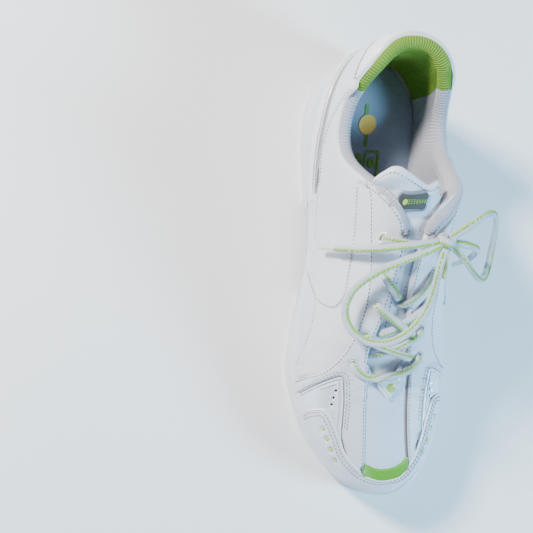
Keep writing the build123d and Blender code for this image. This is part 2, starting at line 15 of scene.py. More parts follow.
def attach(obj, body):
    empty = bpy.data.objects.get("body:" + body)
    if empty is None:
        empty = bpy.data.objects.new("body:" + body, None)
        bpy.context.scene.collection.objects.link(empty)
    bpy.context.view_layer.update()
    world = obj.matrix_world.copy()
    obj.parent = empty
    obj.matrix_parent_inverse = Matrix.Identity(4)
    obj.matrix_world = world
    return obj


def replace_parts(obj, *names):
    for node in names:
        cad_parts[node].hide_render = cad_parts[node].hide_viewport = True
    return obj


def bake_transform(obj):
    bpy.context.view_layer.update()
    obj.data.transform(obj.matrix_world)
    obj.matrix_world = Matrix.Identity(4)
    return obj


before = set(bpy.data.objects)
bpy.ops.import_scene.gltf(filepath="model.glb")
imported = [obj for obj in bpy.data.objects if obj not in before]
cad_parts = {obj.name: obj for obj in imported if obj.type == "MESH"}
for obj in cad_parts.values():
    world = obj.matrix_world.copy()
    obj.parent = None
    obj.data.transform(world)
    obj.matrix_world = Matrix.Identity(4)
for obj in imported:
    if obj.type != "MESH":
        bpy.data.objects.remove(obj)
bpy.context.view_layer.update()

MM = 0.001
SOLE_LENGTH = 292.0
SHOE, FLAP = "shoe", "tongue_top"
SIDES = ("medial", "lateral")


# ================================================================ camera, light and floor
def make_camera():
    """High over the medial side, with the toe nearest."""
    data = bpy.data.cameras.new("camera")
    data.sensor_width = 36.0
    data.lens = 77.7
    camera = bpy.data.objects.new("camera", data)
    bpy.context.scene.collection.objects.link(camera)
    eye, aim = Vector((-0.3235, -0.006, 0.710)), Vector((-0.0787, 0.0074, 0.050))
    forward = (aim - eye).normalized()
    level_up = Vector((0, 1, 0)) - forward * forward.y
    level_up.normalize()
    level_right = forward.cross(level_up)
    roll = math.radians(-2.76)
    up = level_up * math.cos(roll) - level_right * math.sin(roll)
    right = level_up * math.sin(roll) + level_right * math.cos(roll)
    camera.matrix_world = Matrix.Translation(eye) @ Matrix((right, up, -forward)).transposed().to_4x4()
    bpy.context.scene.camera = camera


def area_light(name, place, size, power, colour):
    data = bpy.data.lights.new(name, "AREA")
    data.size = size
    data.energy = power
    data.color = colour
    light = bpy.data.objects.new(name, data)
    light.location = place
    light.rotation_euler = (Vector((0, 0, 0.04)) - Vector(place)).to_track_quat("-Z", "Y").to_euler()
    bpy.context.scene.collection.objects.link(light)


def make_stage():
    """Pale floor, pale surroundings and soft lights."""
    world = bpy.data.worlds.new("studio")
    bpy.context.scene.world = world
    world.use_nodes = True
    back = world.node_tree.nodes["Background"]
    back.inputs["Color"].default_value = (0.93, 0.95, 1.0, 1)
    back.inputs["Strength"].default_value = 0.15
    bpy.ops.mesh.primitive_plane_add(size=6.0, location=(0, 0, -0.0004))
    floor = bpy.context.object
    floor.name = "floor"
    paint = bpy.data.materials.new("floor_paint")
    paint.use_nodes = True
    shader = paint.node_tree.nodes["Principled BSDF"]
    shader.inputs["Base Color"].default_value = (0.90, 0.90, 0.91, 1)
    shader.inputs["Roughness"].default_value = 0.9
    floor.data.materials.append(paint)
    area_light("key", (-0.95, 0.70, 0.80), 0.22, 50.0, (1.0, 0.95, 0.90))
    area_light("cool_side", (0.95, -0.45, 0.70), 0.40, 33.0, (0.40, 0.75, 1.0))
    area_light("toe_fill", (-0.35, -1.2, 0.6), 0.45, 9.0, (0.48, 0.74, 1.0))


make_camera()
make_stage()


# ================================================================ the last: the upper's surface
# station, lateral and medial half width, feather height, ridge x, ridge height, roundness
LAST = np.array([
    (2.1, 4.6, 0.4, 50, 2.5, 66, 2.3),
    (3, 6.5, 2.5, 50, 2.5, 84, 2.6),
    (5, 15, 8.5, 49, 2.5, 102, 2.8),
    (9, 22.5, 14.5, 48.5, 2.5, 117, 3.0),
    (16, 29, 20.5, 48, 2.5, 127, 3.2),
    (28, 35.5, 27.5, 47, 2.5, 132, 3.4),
    (45, 39.5, 32.5, 43, 2.3, 133, 3.5),
    (65, 40.5, 34.5, 34.5, 2, 130, 3.4),
    (90, 39.5, 34, 25.5, 1, 121, 3.1),
    (115, 39, 34, 21, -1, 109, 2.7),
    (140, 41, 37, 20, -3, 95, 2.45),
    (165, 45, 43.5, 20, -4.5, 82, 2.35),
    (190, 47.5, 49.5, 20.5, -5.5, 70, 2.3),
    (208, 47.5, 51, 21, -5.5, 62.5, 2.3),
    (225, 45.5, 49, 21.5, -5, 56.5, 2.3),
    (240, 42.5, 44.5, 22.5, -4, 52, 2.35),
    (254, 38, 38.5, 23.5, -3, 48.5, 2.4),
    (266, 32, 30.5, 24.5, -2, 45.5, 2.45),
    (275, 25, 22, 25.5, -1, 42, 2.4),
    (282, 15.5, 13, 26.5, 0, 38, 2.3),
    (286, 6.5, 4, 27.5, 1, 34, 2.1),
    (287.3, 2.6, -0.6, 28, 1, 30.5, 2.0),
])
HEEL_STATION, TOE_STATION = LAST[0, 0], LAST[-1, 0]
SKIRT = 1.5                  # the wall below the feather line, per degree of angle past it

# Side profiles: station, height
TOPLINE = {
    "lateral": [(-8, 108), (2, 104), (12, 101.5), (24, 95), (36, 84), (48, 73), (62, 69.5), (75, 73.5),
                (87, 89), (96, 102.5), (104, 108), (114, 108.5), (126, 106)],
    "medial": [(-8, 108), (2, 104), (12, 101.5), (22, 95), (31, 84.5), (39, 76), (50, 71), (62, 68.5),
               (75, 73), (87, 89), (96, 102.5), (104, 108), (114, 108.5), (126, 106)],
}


def run_along(line):
    """Length along a line at each of its points."""
    return np.concatenate([[0], np.cumsum(np.linalg.norm(np.diff(line, axis=0), axis=1))])


def unit(vectors):
    """Rows scaled to length one."""
    return vectors / np.maximum(np.linalg.norm(vectors, axis=-1, keepdims=True), 1e-9)


def ring_faces(rings, around, start=0):
    """Four-sided faces between rings of points that follow one another."""
    faces = []
    for k in range(rings - 1):
        for m in range(around):
            n = (m + 1) % around
            faces.append((start + around * k + m, start + around * k + n,
                          start + around * (k + 1) + n, start + around * (k + 1) + m))
    return faces


def hermite(xs, ys, x):
    """Smooth curve through (xs, ys) at x, with the CAD's tangents."""
    x = np.clip(np.asarray(x, float), xs[0], xs[-1])
    k = np.clip(np.searchsorted(xs, x, side="right") - 1, 0, len(xs) - 2)
    before, after = np.maximum(k - 1, 0), np.minimum(k + 2, len(xs) - 1)
    step = xs[k + 1] - xs[k]
    t = (x - xs[k]) / step
    if ys.ndim > 1:
        step, t = step[..., None], t[..., None]
        reach_a, reach_b = (xs[k + 1] - xs[before])[..., None], (xs[after] - xs[k])[..., None]
    else:
        reach_a, reach_b = xs[k + 1] - xs[before], xs[after] - xs[k]
    m1 = step * (ys[k + 1] - ys[before]) / reach_a
    m2 = step * (ys[after] - ys[k]) / reach_b
    rise = 3 * t * t - 2 * t ** 3
    return ys[k] * (1 - rise) + ys[k + 1] * rise + m1 * (t - 2 * t * t + t ** 3) + m2 * (t ** 3 - t * t)


def last_at(station):
    return np.moveaxis(hermite(LAST[:, 0], LAST[:, 1:], station), -1, 0)


def profile(points, station):
    points = np.array(points, float)
    return hermite(points[:, 0], points[:, 1], station)


def y_at(station):
    return SOLE_LENGTH / 2 - np.asarray(station, float)


def section(station, angle):
    """Points of the last: angle 0 at the lateral feather, pi/2 at the ridge, pi at the medial.

    Beyond 0 and pi the wall goes straight down, SKIRT millimetres per degree.
    """
    lateral, medial, feather, ridge, top, power = last_at(station)
    below = np.degrees(np.maximum(np.maximum(-angle, angle - np.pi), 0)) * SKIRT
    angle = np.clip(angle, 0, np.pi)
    c, s = np.cos(angle), np.sin(angle)
    radius = (np.abs(c) ** power + np.abs(s) ** power) ** (-1 / power)
    half = np.where(c > 0, lateral - ridge, ridge + medial)
    z = feather + (top - feather) * radius * s - below
    return np.stack([ridge + half * radius * c, y_at(station) + 0 * z, z], -1)


def angle_from_plan(x, station):
    lateral, medial, _, ridge, _, power = last_at(station)
    half = np.where(x > ridge, lateral - ridge, ridge + medial)
    ratio = np.clip(np.abs(x - ridge) / half, 0, 0.9999)
    rise = (1 - ratio ** power) ** (1 / power)
    angle = np.arctan2(rise, ratio)
    return np.where(x > ridge, angle, np.pi - angle)


def angle_from_side(side, station, z):
    _, _, feather, _, top, power = last_at(station)
    rise = np.clip((z - feather) / (top - feather), 0, 0.9999)
    ratio = (1 - rise ** power) ** (1 / power)
    angle = np.arctan2(rise, ratio) - np.radians(np.clip((feather - z) / SKIRT, 0, 4))
    return angle if side == "lateral" else np.pi - angle


class Patch:
    """A table of surface points with nearly true lengths along both of its directions."""

    def __init__(self, rows, points):
        self.points = points
        du = np.gradient(points, axis=0)
        dv = np.gradient(points, axis=1)
        normals = np.cross(dv, du)
        self.normals = unit(normals)
        self.rows = rows

    def look_up(self, i, j):
        i = np.clip(i, 0, self.points.shape[0] - 1.001)
        j = np.clip(j, 0, self.points.shape[1] - 1.001)
        a, b = i.astype(int), j.astype(int)
        u, v = (i - a)[:, None], (j - b)[:, None]
        out = []
        for table in (self.points, self.normals):
            near = table[a, b] * (1 - v) + table[a, b + 1] * v
            far = table[a + 1, b] * (1 - v) + table[a + 1, b + 1] * v
            out.append(near * (1 - u) + far * u)
        return out[0], unit(out[1])


class UpperPatch(Patch):
    """The whole last. Coordinates: true length from the heel, true length round from the ridge."""

    def __init__(self):
        fine_heel = np.arange(HEEL_STATION, 16, 0.25)
        fine_toe = np.arange(262, TOE_STATION, 0.25)
        stations = np.concatenate([fine_heel, np.arange(16, 262, 1.0), fine_toe, [TOE_STATION]])
        self.degrees = np.arange(-4, 185.0)
        self.angles = np.radians(self.degrees)
        grid_s, grid_a = np.meshgrid(stations, self.angles, indexing="ij")
        points = section(grid_s, grid_a)
        super().__init__(stations, points)
        wide = last_at(stations)[0]
        growth = np.hypot(1.0, np.gradient(wide, stations))
        steps = np.diff(stations) * (growth[1:] + growth[:-1]) / 2
        self.lengths = np.concatenate([[0], np.cumsum(steps)])
        arcs = np.linalg.norm(np.diff(points, axis=1), axis=2)
        arcs = np.concatenate([np.zeros((len(stations), 1)), np.cumsum(arcs, axis=1)], axis=1)
        self.arcs = arcs - arcs[:, 94:95]

    def flat(self, station, angle):
        """Flat coordinates of points given by station and angle."""
        station, angle = np.atleast_1d(station).astype(float), np.atleast_1d(angle).astype(float)
        i = np.interp(station, self.rows, np.arange(len(self.rows)))
        a = np.minimum(i.astype(int), len(self.rows) - 2)
        t = i - a
        out = []
        for k in range(len(station)):
            arc = self.arcs[a[k]] * (1 - t[k]) + self.arcs[a[k] + 1] * t[k]
            along = np.interp(station[k], self.rows, self.lengths)
            out.append((along, np.interp(angle[k], self.angles, arc)))
        return np.array(out)

    def at(self, flat, lift=0.0):
        """Points and normals of flat coordinates, raised by lift."""
        flat = np.asarray(flat, float)
        i = np.interp(flat[:, 0], self.lengths, np.arange(len(self.rows)))
        a = np.minimum(i.astype(int), len(self.rows) - 2)
        t = i - a
        j = np.empty(len(flat))
        columns = np.arange(len(self.degrees))
        for k in range(len(flat)):
            arc = self.arcs[a[k]] * (1 - t[k]) + self.arcs[a[k] + 1] * t[k]
            j[k] = np.interp(flat[k, 1], arc, columns)
        point, normal = self.look_up(i, j)
        return point + normal * np.broadcast_to(lift, len(flat))[:, None], normal

    def plan(self, points):
        """Flat coordinates of x, station points."""
        points = np.array(points, float)
        return self.flat(points[:, 1], angle_from_plan(points[:, 0], points[:, 1]))

    def side(self, side, points):
        """Flat coordinates of station, height points on one side."""
        points = np.array(points, float)
        return self.flat(points[:, 0], angle_from_side(side, points[:, 0], points[:, 1]))


WALL_END = 128.0             # the heel patch is worked out back from this station


def wall_curve(z):
    """The last's outline at one height: from the lateral side round the heel to the medial side."""
    stations = np.concatenate([np.arange(HEEL_STATION, 12, 0.1), np.arange(12, WALL_END + 0.5, 1.0)])
    top = last_at(stations)[4]
    stations = stations[top > z + 0.02]
    curve = []
    for side in ("lateral", "medial"):
        lateral, medial, feather, ridge, top, power = last_at(stations)
        rise = np.clip((z - feather) / (top - feather), 0, 0.99999)
        reach = (1 - rise ** power) ** (1 / power)
        x = ridge + (lateral - ridge) * reach if side == "lateral" else ridge - (ridge + medial) * reach
        curve.append(np.stack([x, y_at(stations)], -1))
    return curve[0][::-1], curve[1]


class HeelPatch(Patch):
    """The rear walls. Coordinates: length round from the back of the heel, lateral positive; height."""
    REACH = 125
    RISE = 2.0

    def __init__(self):
        self.heights = np.arange(14.0, 113.0, self.RISE)
        self.rounds = np.arange(-self.REACH, self.REACH + 1.0)
        rows = []
        for z in self.heights:
            lateral, medial = wall_curve(z)
            row = np.concatenate([lateral, medial])
            length = run_along(row)
            middle = (length[len(lateral) - 1] + length[len(lateral)]) / 2
            wanted = middle - self.rounds
            x, y = np.interp(wanted, length, row[:, 0]), np.interp(wanted, length, row[:, 1])
            rows.append(np.stack([x, y, np.full_like(x, z)], -1))
        points = np.array(rows)
        for _ in range(3):
            points[:, 1:-1, :2] = (points[:, :-2, :2] + 2 * points[:, 1:-1, :2] + points[:, 2:, :2]) / 4
        super().__init__(self.heights, points)
        self.normals = -self.normals
        lateral_wall = self.normals[len(self.heights) // 2, self.REACH + 40]
        if lateral_wall[0] < 0:
            self.normals = -self.normals

    def at(self, flat, lift=0.0):
        flat = np.asarray(flat, float)
        i = (flat[:, 1] - self.heights[0]) / self.RISE
        j = flat[:, 0] + self.REACH
        point, normal = self.look_up(i, j)
        return point + normal * np.broadcast_to(lift, len(flat))[:, None], normal

    def side(self, side, points):
        """Coordinates of station, height points on one side."""
        out = []
        for station, z in points:
            row = int(np.clip(round((z - self.heights[0]) / self.RISE), 0, len(self.heights) - 1))
            line = self.points[row]
            half = slice(self.REACH, None) if side == "lateral" else slice(0, self.REACH + 1)
            y, r = line[half, 1], self.rounds[half]
            order = np.argsort(-y)
            out.append((np.interp(-y_at(station), -y[order], r[order]), z))
        return np.array(out)


upper = UpperPatch()
heel = HeelPatch()


# ================================================================ curves on the flat patches
def smooth_line(points, step=1.2, closed=False):
    """A smooth line through points, in two or three dimensions, with even steps."""
    points = np.array(points, float)
    if len(points) == 2 and not closed:
        count = max(2, int(np.linalg.norm(points[1] - points[0]) / step) + 1)
        return points[0] + (points[1] - points[0]) * np.linspace(0, 1, count)[:, None]
    if closed:
        points = np.concatenate([points[-3:], points, points[:3]])
    length = run_along(points)
    start, end = (length[3], length[-3]) if closed else (0, length[-1])
    fine = hermite(length, points, np.linspace(start, end, max(8, int((end - start) / 0.3))))
    length = run_along(fine)
    count = max(3, int(length[-1] / step) + 1)
    wanted = np.linspace(0, length[-1], count)
    line = np.stack([np.interp(wanted, length, fine[:, k]) for k in range(fine.shape[1])], -1)
    return line[:-1] if closed else line


def beside(line, distance):
    """A line moved sideways, to its left when distance is positive."""
    line = np.asarray(line, float)
    way = unit(np.gradient(line, axis=0))
    return line + distance * np.stack([-way[:, 1], way[:, 0]], -1)


def distance_to(outline, points):
    """Distance of points from a closed outline."""
    a = outline
    b = np.roll(outline, -1, axis=0)
    best = np.full(len(points), 1e9)
    span = b - a
    size = np.maximum((span ** 2).sum(1), 1e-12)
    for start in range(0, len(points), 2000):
        p = points[start:start + 2000]
        t = np.clip(((p[:, None] - a[None]) * span[None]).sum(2) / size[None], 0, 1)
        near = a[None] + t[..., None] * span[None]
        best[start:start + 2000] = np.sqrt(((p[:, None] - near) ** 2).sum(2)).min(1)
    return best


def inside(outline, points):
    """True for points within a closed outline."""
    x, y = points[:, 0], points[:, 1]
    result = np.zeros(len(points), bool)
    ax, ay = outline[:, 0], outline[:, 1]
    bx, by = np.roll(ax, -1), np.roll(ay, -1)
    for k in range(len(outline)):
        if ay[k] == by[k]:
            continue
        crosses = ((ay[k] > y) != (by[k] > y)) & (x < (bx[k] - ax[k]) * (y - ay[k]) / (by[k] - ay[k]) + ax[k])
        result ^= crosses
    return result


# ================================================================ meshes
def new_object(name, vertices, faces, material, body=SHOE, smooth=True, uv=None, tags=None):
    """A mesh piece from millimetre vertices, riding on a body. tags gives each face its material."""
    mesh = bpy.data.meshes.new(name)
    mesh.from_pydata((np.asarray(vertices, float) * MM).tolist(), [], [list(map(int, f)) for f in faces])
    materials = material if isinstance(material, (list, tuple)) else [material]
    for item in materials:
        mesh.materials.append(item)
    if tags is not None:
        mesh.polygons.foreach_set("material_index", np.asarray(tags, np.int32))
    mesh.polygons.foreach_set("use_smooth", [smooth] * len(mesh.polygons))
    if uv is not None:
        layer = mesh.uv_layers.new(name="flat")
        loops = np.empty(len(mesh.loops), np.int32)
        mesh.loops.foreach_get("vertex_index", loops)
        layer.data.foreach_set("uv", np.asarray(uv, float)[loops].ravel())
    mesh.validate()
    mesh.update()
    piece = bpy.data.objects.new(name, mesh)
    bpy.context.scene.collection.objects.link(piece)
    if body is not None:
        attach(piece, body)
    return piece


def triangulate(outline, extra, holes=()):
    """Triangles over an outline with extra inner points, clear of holes."""
    points = [Vector(p) for p in outline]
    edges = [(k, (k + 1) % len(outline)) for k in range(len(outline))]
    for hole in holes:
        first = len(points)
        points += [Vector(p) for p in hole]
        edges += [(first + k, first + (k + 1) % len(hole)) for k in range(len(hole))]
    points += [Vector(p) for p in extra]
    found, _, faces, *_ = delaunay_2d_cdt(points, edges, [], 1, 1e-5)
    flat = np.array([tuple(p) for p in found])
    faces = np.array([f for f in faces if len(f) == 3])
    if len(holes):
        middle = flat[faces].mean(axis=1)
        keep = np.ones(len(faces), bool)
        for hole in holes:
            keep &= ~inside(np.asarray(hole), middle)
        faces = faces[keep]
    return flat, faces


def rounded(distance, width):
    """Height share of a rounded edge: 0 at the edge, 1 from width inwards."""
    t = np.clip(distance / width, 0, 1)
    return np.sqrt(np.clip(1 - (1 - t) ** 2, 0, 1))


def panel_mesh(patch, outline, height, edge=1.1, sunk=-0.9, puff=0.0, puff_width=9.0, grid=2.4,
               shape=None, holes=()):
    """Vertices, faces and flat coordinates of a leather panel with a rounded edge and a skirt."""
    outline = np.asarray(outline, float)
    following = np.roll(outline, -1, axis=0)
    area = 0.5 * np.sum(outline[:, 0] * following[:, 1] - outline[:, 1] * following[:, 0])
    if area < 0:
        outline = outline[::-1]
    rims = [outline, *[np.asarray(h, float) for h in holes]]
    rings = []
    for share in (0.22, 0.6, 1.05):
        inset = share * edge
        for rim in rims:
            ring = beside(np.concatenate([rim[-1:], rim, rim[:1]]), inset)[1:-1]
            ring = ring if rim is outline else beside(np.concatenate([rim[-1:], rim, rim[:1]]), -inset)[1:-1]
            rings.append((ring, inset))
    low, high = outline.min(0), outline.max(0)
    rows = int((high[1] - low[1]) / (grid * 0.87)) + 2
    columns = int((high[0] - low[0]) / grid) + 2
    i, j = np.meshgrid(np.arange(columns), np.arange(rows), indexing="ij")
    mesh_points = np.stack([low[0] + (i + 0.5 * (j % 2)) * grid, low[1] + j * grid * 0.87], -1).reshape(-1, 2)

    def gap(points):
        return np.min([distance_to(rim, points) for rim in rims], axis=0)

    mesh_points = mesh_points[inside(outline, mesh_points)]
    mesh_points = mesh_points[gap(mesh_points) > 1.05 * edge + 0.35 * grid]
    extra = [mesh_points]
    for ring, inset in rings:
        good = inside(outline, ring)
        ring = ring[good]
        if len(ring):
            extra.append(ring[gap(ring) > inset * 0.93])
    extra = np.concatenate(extra)
    for hole in holes:
        extra = extra[~inside(np.asarray(hole), extra)]
    flat, faces = triangulate(outline, extra, holes)
    distance = gap(flat)
    lift = sunk + (height - sunk) * rounded(distance, edge)
    if puff:
        lift = lift + puff * rounded(np.maximum(distance - edge, 0), puff_width)
    if shape is not None:
        lift = lift + shape(flat, distance)
    points, normals = patch.at(flat, lift)
    a, b, c = points[faces[:, 0]], points[faces[:, 1]], points[faces[:, 2]]
    facing = (np.cross(b - a, c - a) * normals[faces[:, 0]]).sum(1)
    if np.median(facing) < 0:
        faces = faces[:, ::-1]
    return points, faces, flat


def panel(name, patch, outline, height, material, body=SHOE, slot=None, **options):
    points, faces, flat = panel_mesh(patch, outline, height, **options)
    return new_object(name, points, faces, material, body, uv=flat * MM)


def resample(line, step):
    """Even points along a three-dimensional line, with the way at each."""
    line = np.asarray(line, float)
    length = run_along(line)
    count = max(2, int(round(length[-1] / step)) + 1)
    wanted = np.linspace(0, length[-1], count)
    points = np.stack([np.interp(wanted, length, line[:, k]) for k in range(3)], -1)
    return points, unit(np.gradient(points, axis=0))


STITCH_FLATNESS = 0.75       # a stitch's height as a share of its width


class Stitching:
    """Rows of thread stitches, gathered into one mesh per thread."""

    def __init__(self):
        self.vertices, self.faces, self.count = [], [], 0
        ring = np.radians(np.arange(0, 360, 60))
        rings = [(-1.0, 0.35), (-0.62, 0.86), (0.0, 1.0), (0.62, 0.86), (1.0, 0.35)]
        self.form = np.array([(u, w * math.cos(a), w * math.sin(a)) for u, w in rings for a in ring])
        self.form_faces = ring_faces(len(rings), 6) + [tuple(range(5, -1, -1)), tuple(range(24, 30))]

    def add(self, centre, size, way, across, normal):
        """One stitch: the form scaled by size, its length laid along way."""
        shape = self.form * size
        self.vertices.append(centre + shape[:, :1] * way + shape[:, 1:2] * across + shape[:, 2:] * normal)
        self.faces += [tuple(self.count + v for v in face) for face in self.form_faces]
        self.count += len(shape)

    def row(self, patch, line, lift, pitch=2.5, length=1.65, thickness=0.72):
        """Stitches along a line of flat coordinates."""
        points, normals = patch.at(line, lift)
        places, ways = resample(points, pitch)
        index = [np.argmin(((points - p) ** 2).sum(1)) for p in places]
        for place, way, k in zip(places, ways, index):
            normal = normals[k]
            across = unit(np.cross(normal, way))
            size = (length / 2, thickness / 2, thickness / 2 * STITCH_FLATNESS)
            self.add(place, size, way, across, np.cross(way, across))

    def finish(self, name, material, body=SHOE, slot=None):
        if self.vertices:
            new_object(name, np.concatenate(self.vertices), self.faces, material, body)


def tube_mesh(path, normals, half_width, half_height, around=12):
    """An oval tube round a path: vertices, faces, and each vertex's place round and along."""
    way = unit(np.gradient(path, axis=0))
    across = unit(np.cross(normals, way))
    up = np.cross(way, across)
    length = run_along(path)
    turn = np.linspace(0, 2 * np.pi, around, endpoint=False)
    vertices, place = [], []
    widths = np.broadcast_to(half_width, len(path))
    heights = np.broadcast_to(half_height, len(path))
    for k in range(len(path)):
        a, b = np.cos(turn) * widths[k], np.sin(turn) * heights[k]
        vertices.append(path[k] + a[:, None] * across[k] + b[:, None] * up[k])
        place.append(np.stack([turn / (2 * np.pi), np.full(around, length[k])], -1))
    faces = ring_faces(len(path), around)
    faces.append(tuple(range(around - 1, -1, -1)))
    faces.append(tuple(range(around * (len(path) - 1), around * len(path))))
    return np.concatenate(vertices), faces, np.concatenate(place)


# ================================================================ materials
RIB = 2.0                    # pitch of the collar mesh's ribs


class Paint:
    """A procedural material: a short way to add and join nodes."""

    def __init__(self, name, colour, roughness=0.5, metallic=0.0, **sockets):
        self.material = bpy.data.materials.new(name)
        self.material.use_nodes = True
        self.tree = self.material.node_tree
        self.shader = self.tree.nodes["Principled BSDF"]
        self.shader.inputs["Base Color"].default_value = (*colour, 1)
        self.shader.inputs["Roughness"].default_value = roughness
        self.shader.inputs["Metallic"].default_value = metallic
        for socket, value in sockets.items():
            self.shader.inputs[socket.replace("_", " ")].default_value = value
        self.colour = None
        self.height = None
        self.place = self.add("ShaderNodeTexCoord").outputs["Object"]

    def add(self, kind, inputs=None, **settings):
        node = self.tree.nodes.new(kind)
        for key, value in settings.items():
            setattr(node, key, value)
        for key, value in (inputs or {}).items():
            if isinstance(value, bpy.types.NodeSocket):
                self.tree.links.new(value, node.inputs[key])
            else:
                node.inputs[key].default_value = value
        return node

    def flat(self, stretch=(1, 1, 1)):
        """The piece's own flat coordinates, in metres."""
        uv = self.add("ShaderNodeUVMap", uv_map="flat").outputs["UV"]
        return self.add("ShaderNodeMapping", {"Vector": uv, "Scale": stretch}).outputs["Vector"]

    def noise(self, scale, detail=3.0, rough=0.5):
        inputs = {"Vector": self.place, "Scale": scale, "Detail": detail, "Roughness": rough}
        return self.add("ShaderNodeTexNoise", inputs).outputs["Fac"]

    def cells(self, scale, feature="F1"):
        inputs = {"Vector": self.place, "Scale": scale}
        return self.add("ShaderNodeTexVoronoi", inputs, feature=feature).outputs["Distance"]

    def waves(self, scale, place=None, direction="X", distortion=0.0):
        node = self.add("ShaderNodeTexWave", {"Vector": place or self.place, "Scale": scale,
                                              "Distortion": distortion}, bands_direction=direction)
        return node.outputs["Fac"]

    def math(self, operation, a, b):
        return self.add("ShaderNodeMath", {0: a, 1: b}, operation=operation).outputs[0]

    def ramp(self, value, low, high, start=0.0, end=1.0):
        """value from start..end to low..high."""
        node = self.add("ShaderNodeMapRange", {0: value, 1: start, 2: end, 3: low, 4: high})
        return node.outputs[0]

    def blend(self, share, a, b):
        """Colour a to colour b by share."""
        node = self.add("ShaderNodeMix", data_type="RGBA")
        for socket, value in ((node.inputs[0], share), (node.inputs[6], a), (node.inputs[7], b)):
            if isinstance(value, bpy.types.NodeSocket):
                self.tree.links.new(value, socket)
            else:
                socket.default_value = value if socket is node.inputs[0] else (*value, 1)
        return node.outputs[2]

    def tint(self, colour):
        self.tree.links.new(colour, self.shader.inputs["Base Color"])
        return self

    def gloss(self, value):
        self.tree.links.new(value, self.shader.inputs["Roughness"])
        return self

    def relief(self, height, depth, strength=1.0):
        """Adds a bump of depth metres."""
        inputs = {"Height": height, "Distance": depth, "Strength": strength}
        if self.height:
            inputs["Normal"] = self.height
        self.height = self.add("ShaderNodeBump", inputs).outputs["Normal"]
        self.tree.links.new(self.height, self.shader.inputs["Normal"])
        return self


def leather(name, colour, shade, grain=1500.0, depth=0.00020, roughness=0.42):
    """Coated leather: fine pebbles, soft creases, tone that drifts, and painted shade in the grain's cracks,
    stronger in patches.
    """
    paint = Paint(name, colour, roughness, Coat_Weight=0.12, Coat_Roughness=0.25)
    pebble = paint.cells(grain, feature="SMOOTH_F1")
    cracks = paint.cells(grain * 0.8, feature="DISTANCE_TO_EDGE")
    drift = paint.noise(38.0, 4.0)
    # painted shade: the grain's cracks are darkened towards a duller copy of the shade colour, more in some
    # noise patches than in others
    crack_shade_patches = paint.ramp(paint.noise(11.0, 3.0), 0.0, 1.0, 0.42, 0.70)
    tone = paint.blend(drift, colour, shade)
    crack_shade = paint.ramp(cracks, 0.75, 0.0, 0.0, 0.16)
    crack_shade_colour = tuple(0.86 * c for c in shade)
    paint.tint(paint.blend(paint.math("MULTIPLY", crack_shade, paint.ramp(crack_shade_patches, 0.25, 0.55)), tone, crack_shade_colour))
    paint.gloss(paint.ramp(drift, roughness - 0.07, roughness + 0.10))
    paint.relief(paint.noise(75.0, 3.0), 0.0009, 0.5)
    paint.relief(pebble, depth)
    paint.relief(paint.ramp(cracks, 0.0, 1.0, 0.0, 0.22), depth * 0.45)
    return paint.material


def smooth_coat(name, colour, shade, roughness=0.24, coat=0.5):
    """Polished leather: nearly smooth, with faint creases."""
    paint = Paint(name, colour, roughness, Coat_Weight=coat, Coat_Roughness=0.12)
    drift = paint.noise(32.0, 4.0)
    paint.tint(paint.blend(drift, colour, shade))
    paint.gloss(paint.ramp(paint.noise(160.0, 2.0), roughness - 0.05, roughness + 0.09))
    paint.relief(paint.noise(60.0, 4.0), 0.0011, 0.6)
    paint.relief(paint.cells(1300.0, feature="SMOOTH_F1"), 0.00006)
    return paint.material


def pearl(name, colour, shade, metallic, roughness=0.30):
    """Pearl or silver coated trim with a fine sparkle."""
    paint = Paint(name, colour, roughness, metallic, Coat_Weight=0.35, Coat_Roughness=0.18)
    flakes = paint.cells(2600.0)
    drift = paint.noise(26.0, 4.0)
    tone = paint.blend(drift, colour, shade)
    bright = tuple(min(1.0, 1.25 * c) for c in colour)
    paint.tint(paint.blend(paint.ramp(flakes, 0.5, 0.0, 0.0, 0.35), tone, bright))
    paint.gloss(paint.ramp(paint.noise(90.0, 3.0), roughness - 0.06, roughness + 0.14))
    paint.relief(paint.noise(85.0, 3.0), 0.0007, 0.5)
    paint.relief(flakes, 0.00004)
    return paint.material


def mesh_cloth(name, colour, shade, knit_hole_shade):
    """Ribbed spacer mesh: rows of small knit holes along the ribs, with painted shade in the grooves between
    the ribs and in the holes.
    """
    paint = Paint(name, colour, 0.85, Sheen_Weight=0.35, Sheen_Roughness=0.4)
    paint.shader.inputs["Sheen Tint"].default_value = (*colour, 1)
    turns = math.pi / 10 / MM
    ribs = paint.waves(1.0, paint.flat((turns / RIB, 1, 1)), "X")
    fine = paint.waves(1.0, paint.flat((2 * turns / RIB, 1, 1)), "X")
    knots = paint.waves(1.0, paint.flat((1, turns / 0.95, 1)), "Y")
    holes = paint.math("MULTIPLY", fine, knots)
    drift = paint.noise(45.0, 3.0)
    # painted shade: the grooves between the ribs take the darker shade colour, and the knit holes take the
    # near-black one
    base = paint.blend(paint.ramp(ribs, 0.0, 1.0, 0.15, 0.9), shade, colour)
    tone = paint.blend(paint.ramp(drift, 0.0, 0.4), base, shade)
    paint.tint(paint.blend(paint.ramp(holes, 0.8, 0.0, 0.0, 0.4), tone, knit_hole_shade))
    paint.relief(holes, 0.00045)
    paint.relief(paint.noise(2400.0, 2.0), 0.00008)
    return paint.material


def woven(name, colour, shade, scale=1400.0, roughness=0.9, depth=0.00015):
    """Close woven or felted textile."""
    paint = Paint(name, colour, roughness, Sheen_Weight=0.25)
    warp = paint.waves(scale / 6.0, direction="X", distortion=1.5)
    weft = paint.waves(scale / 6.0, direction="Y", distortion=1.5)
    cloth = paint.math("MULTIPLY", warp, weft)
    tone = paint.blend(paint.noise(40.0, 4.0), colour, shade)
    paint.tint(paint.blend(paint.ramp(cloth, 0.5, 0.0, 0.0, 0.5), tone, tuple(0.8 * c for c in shade)))
    paint.relief(cloth, depth)
    paint.relief(paint.noise(scale, 3.0), depth)
    return paint.material


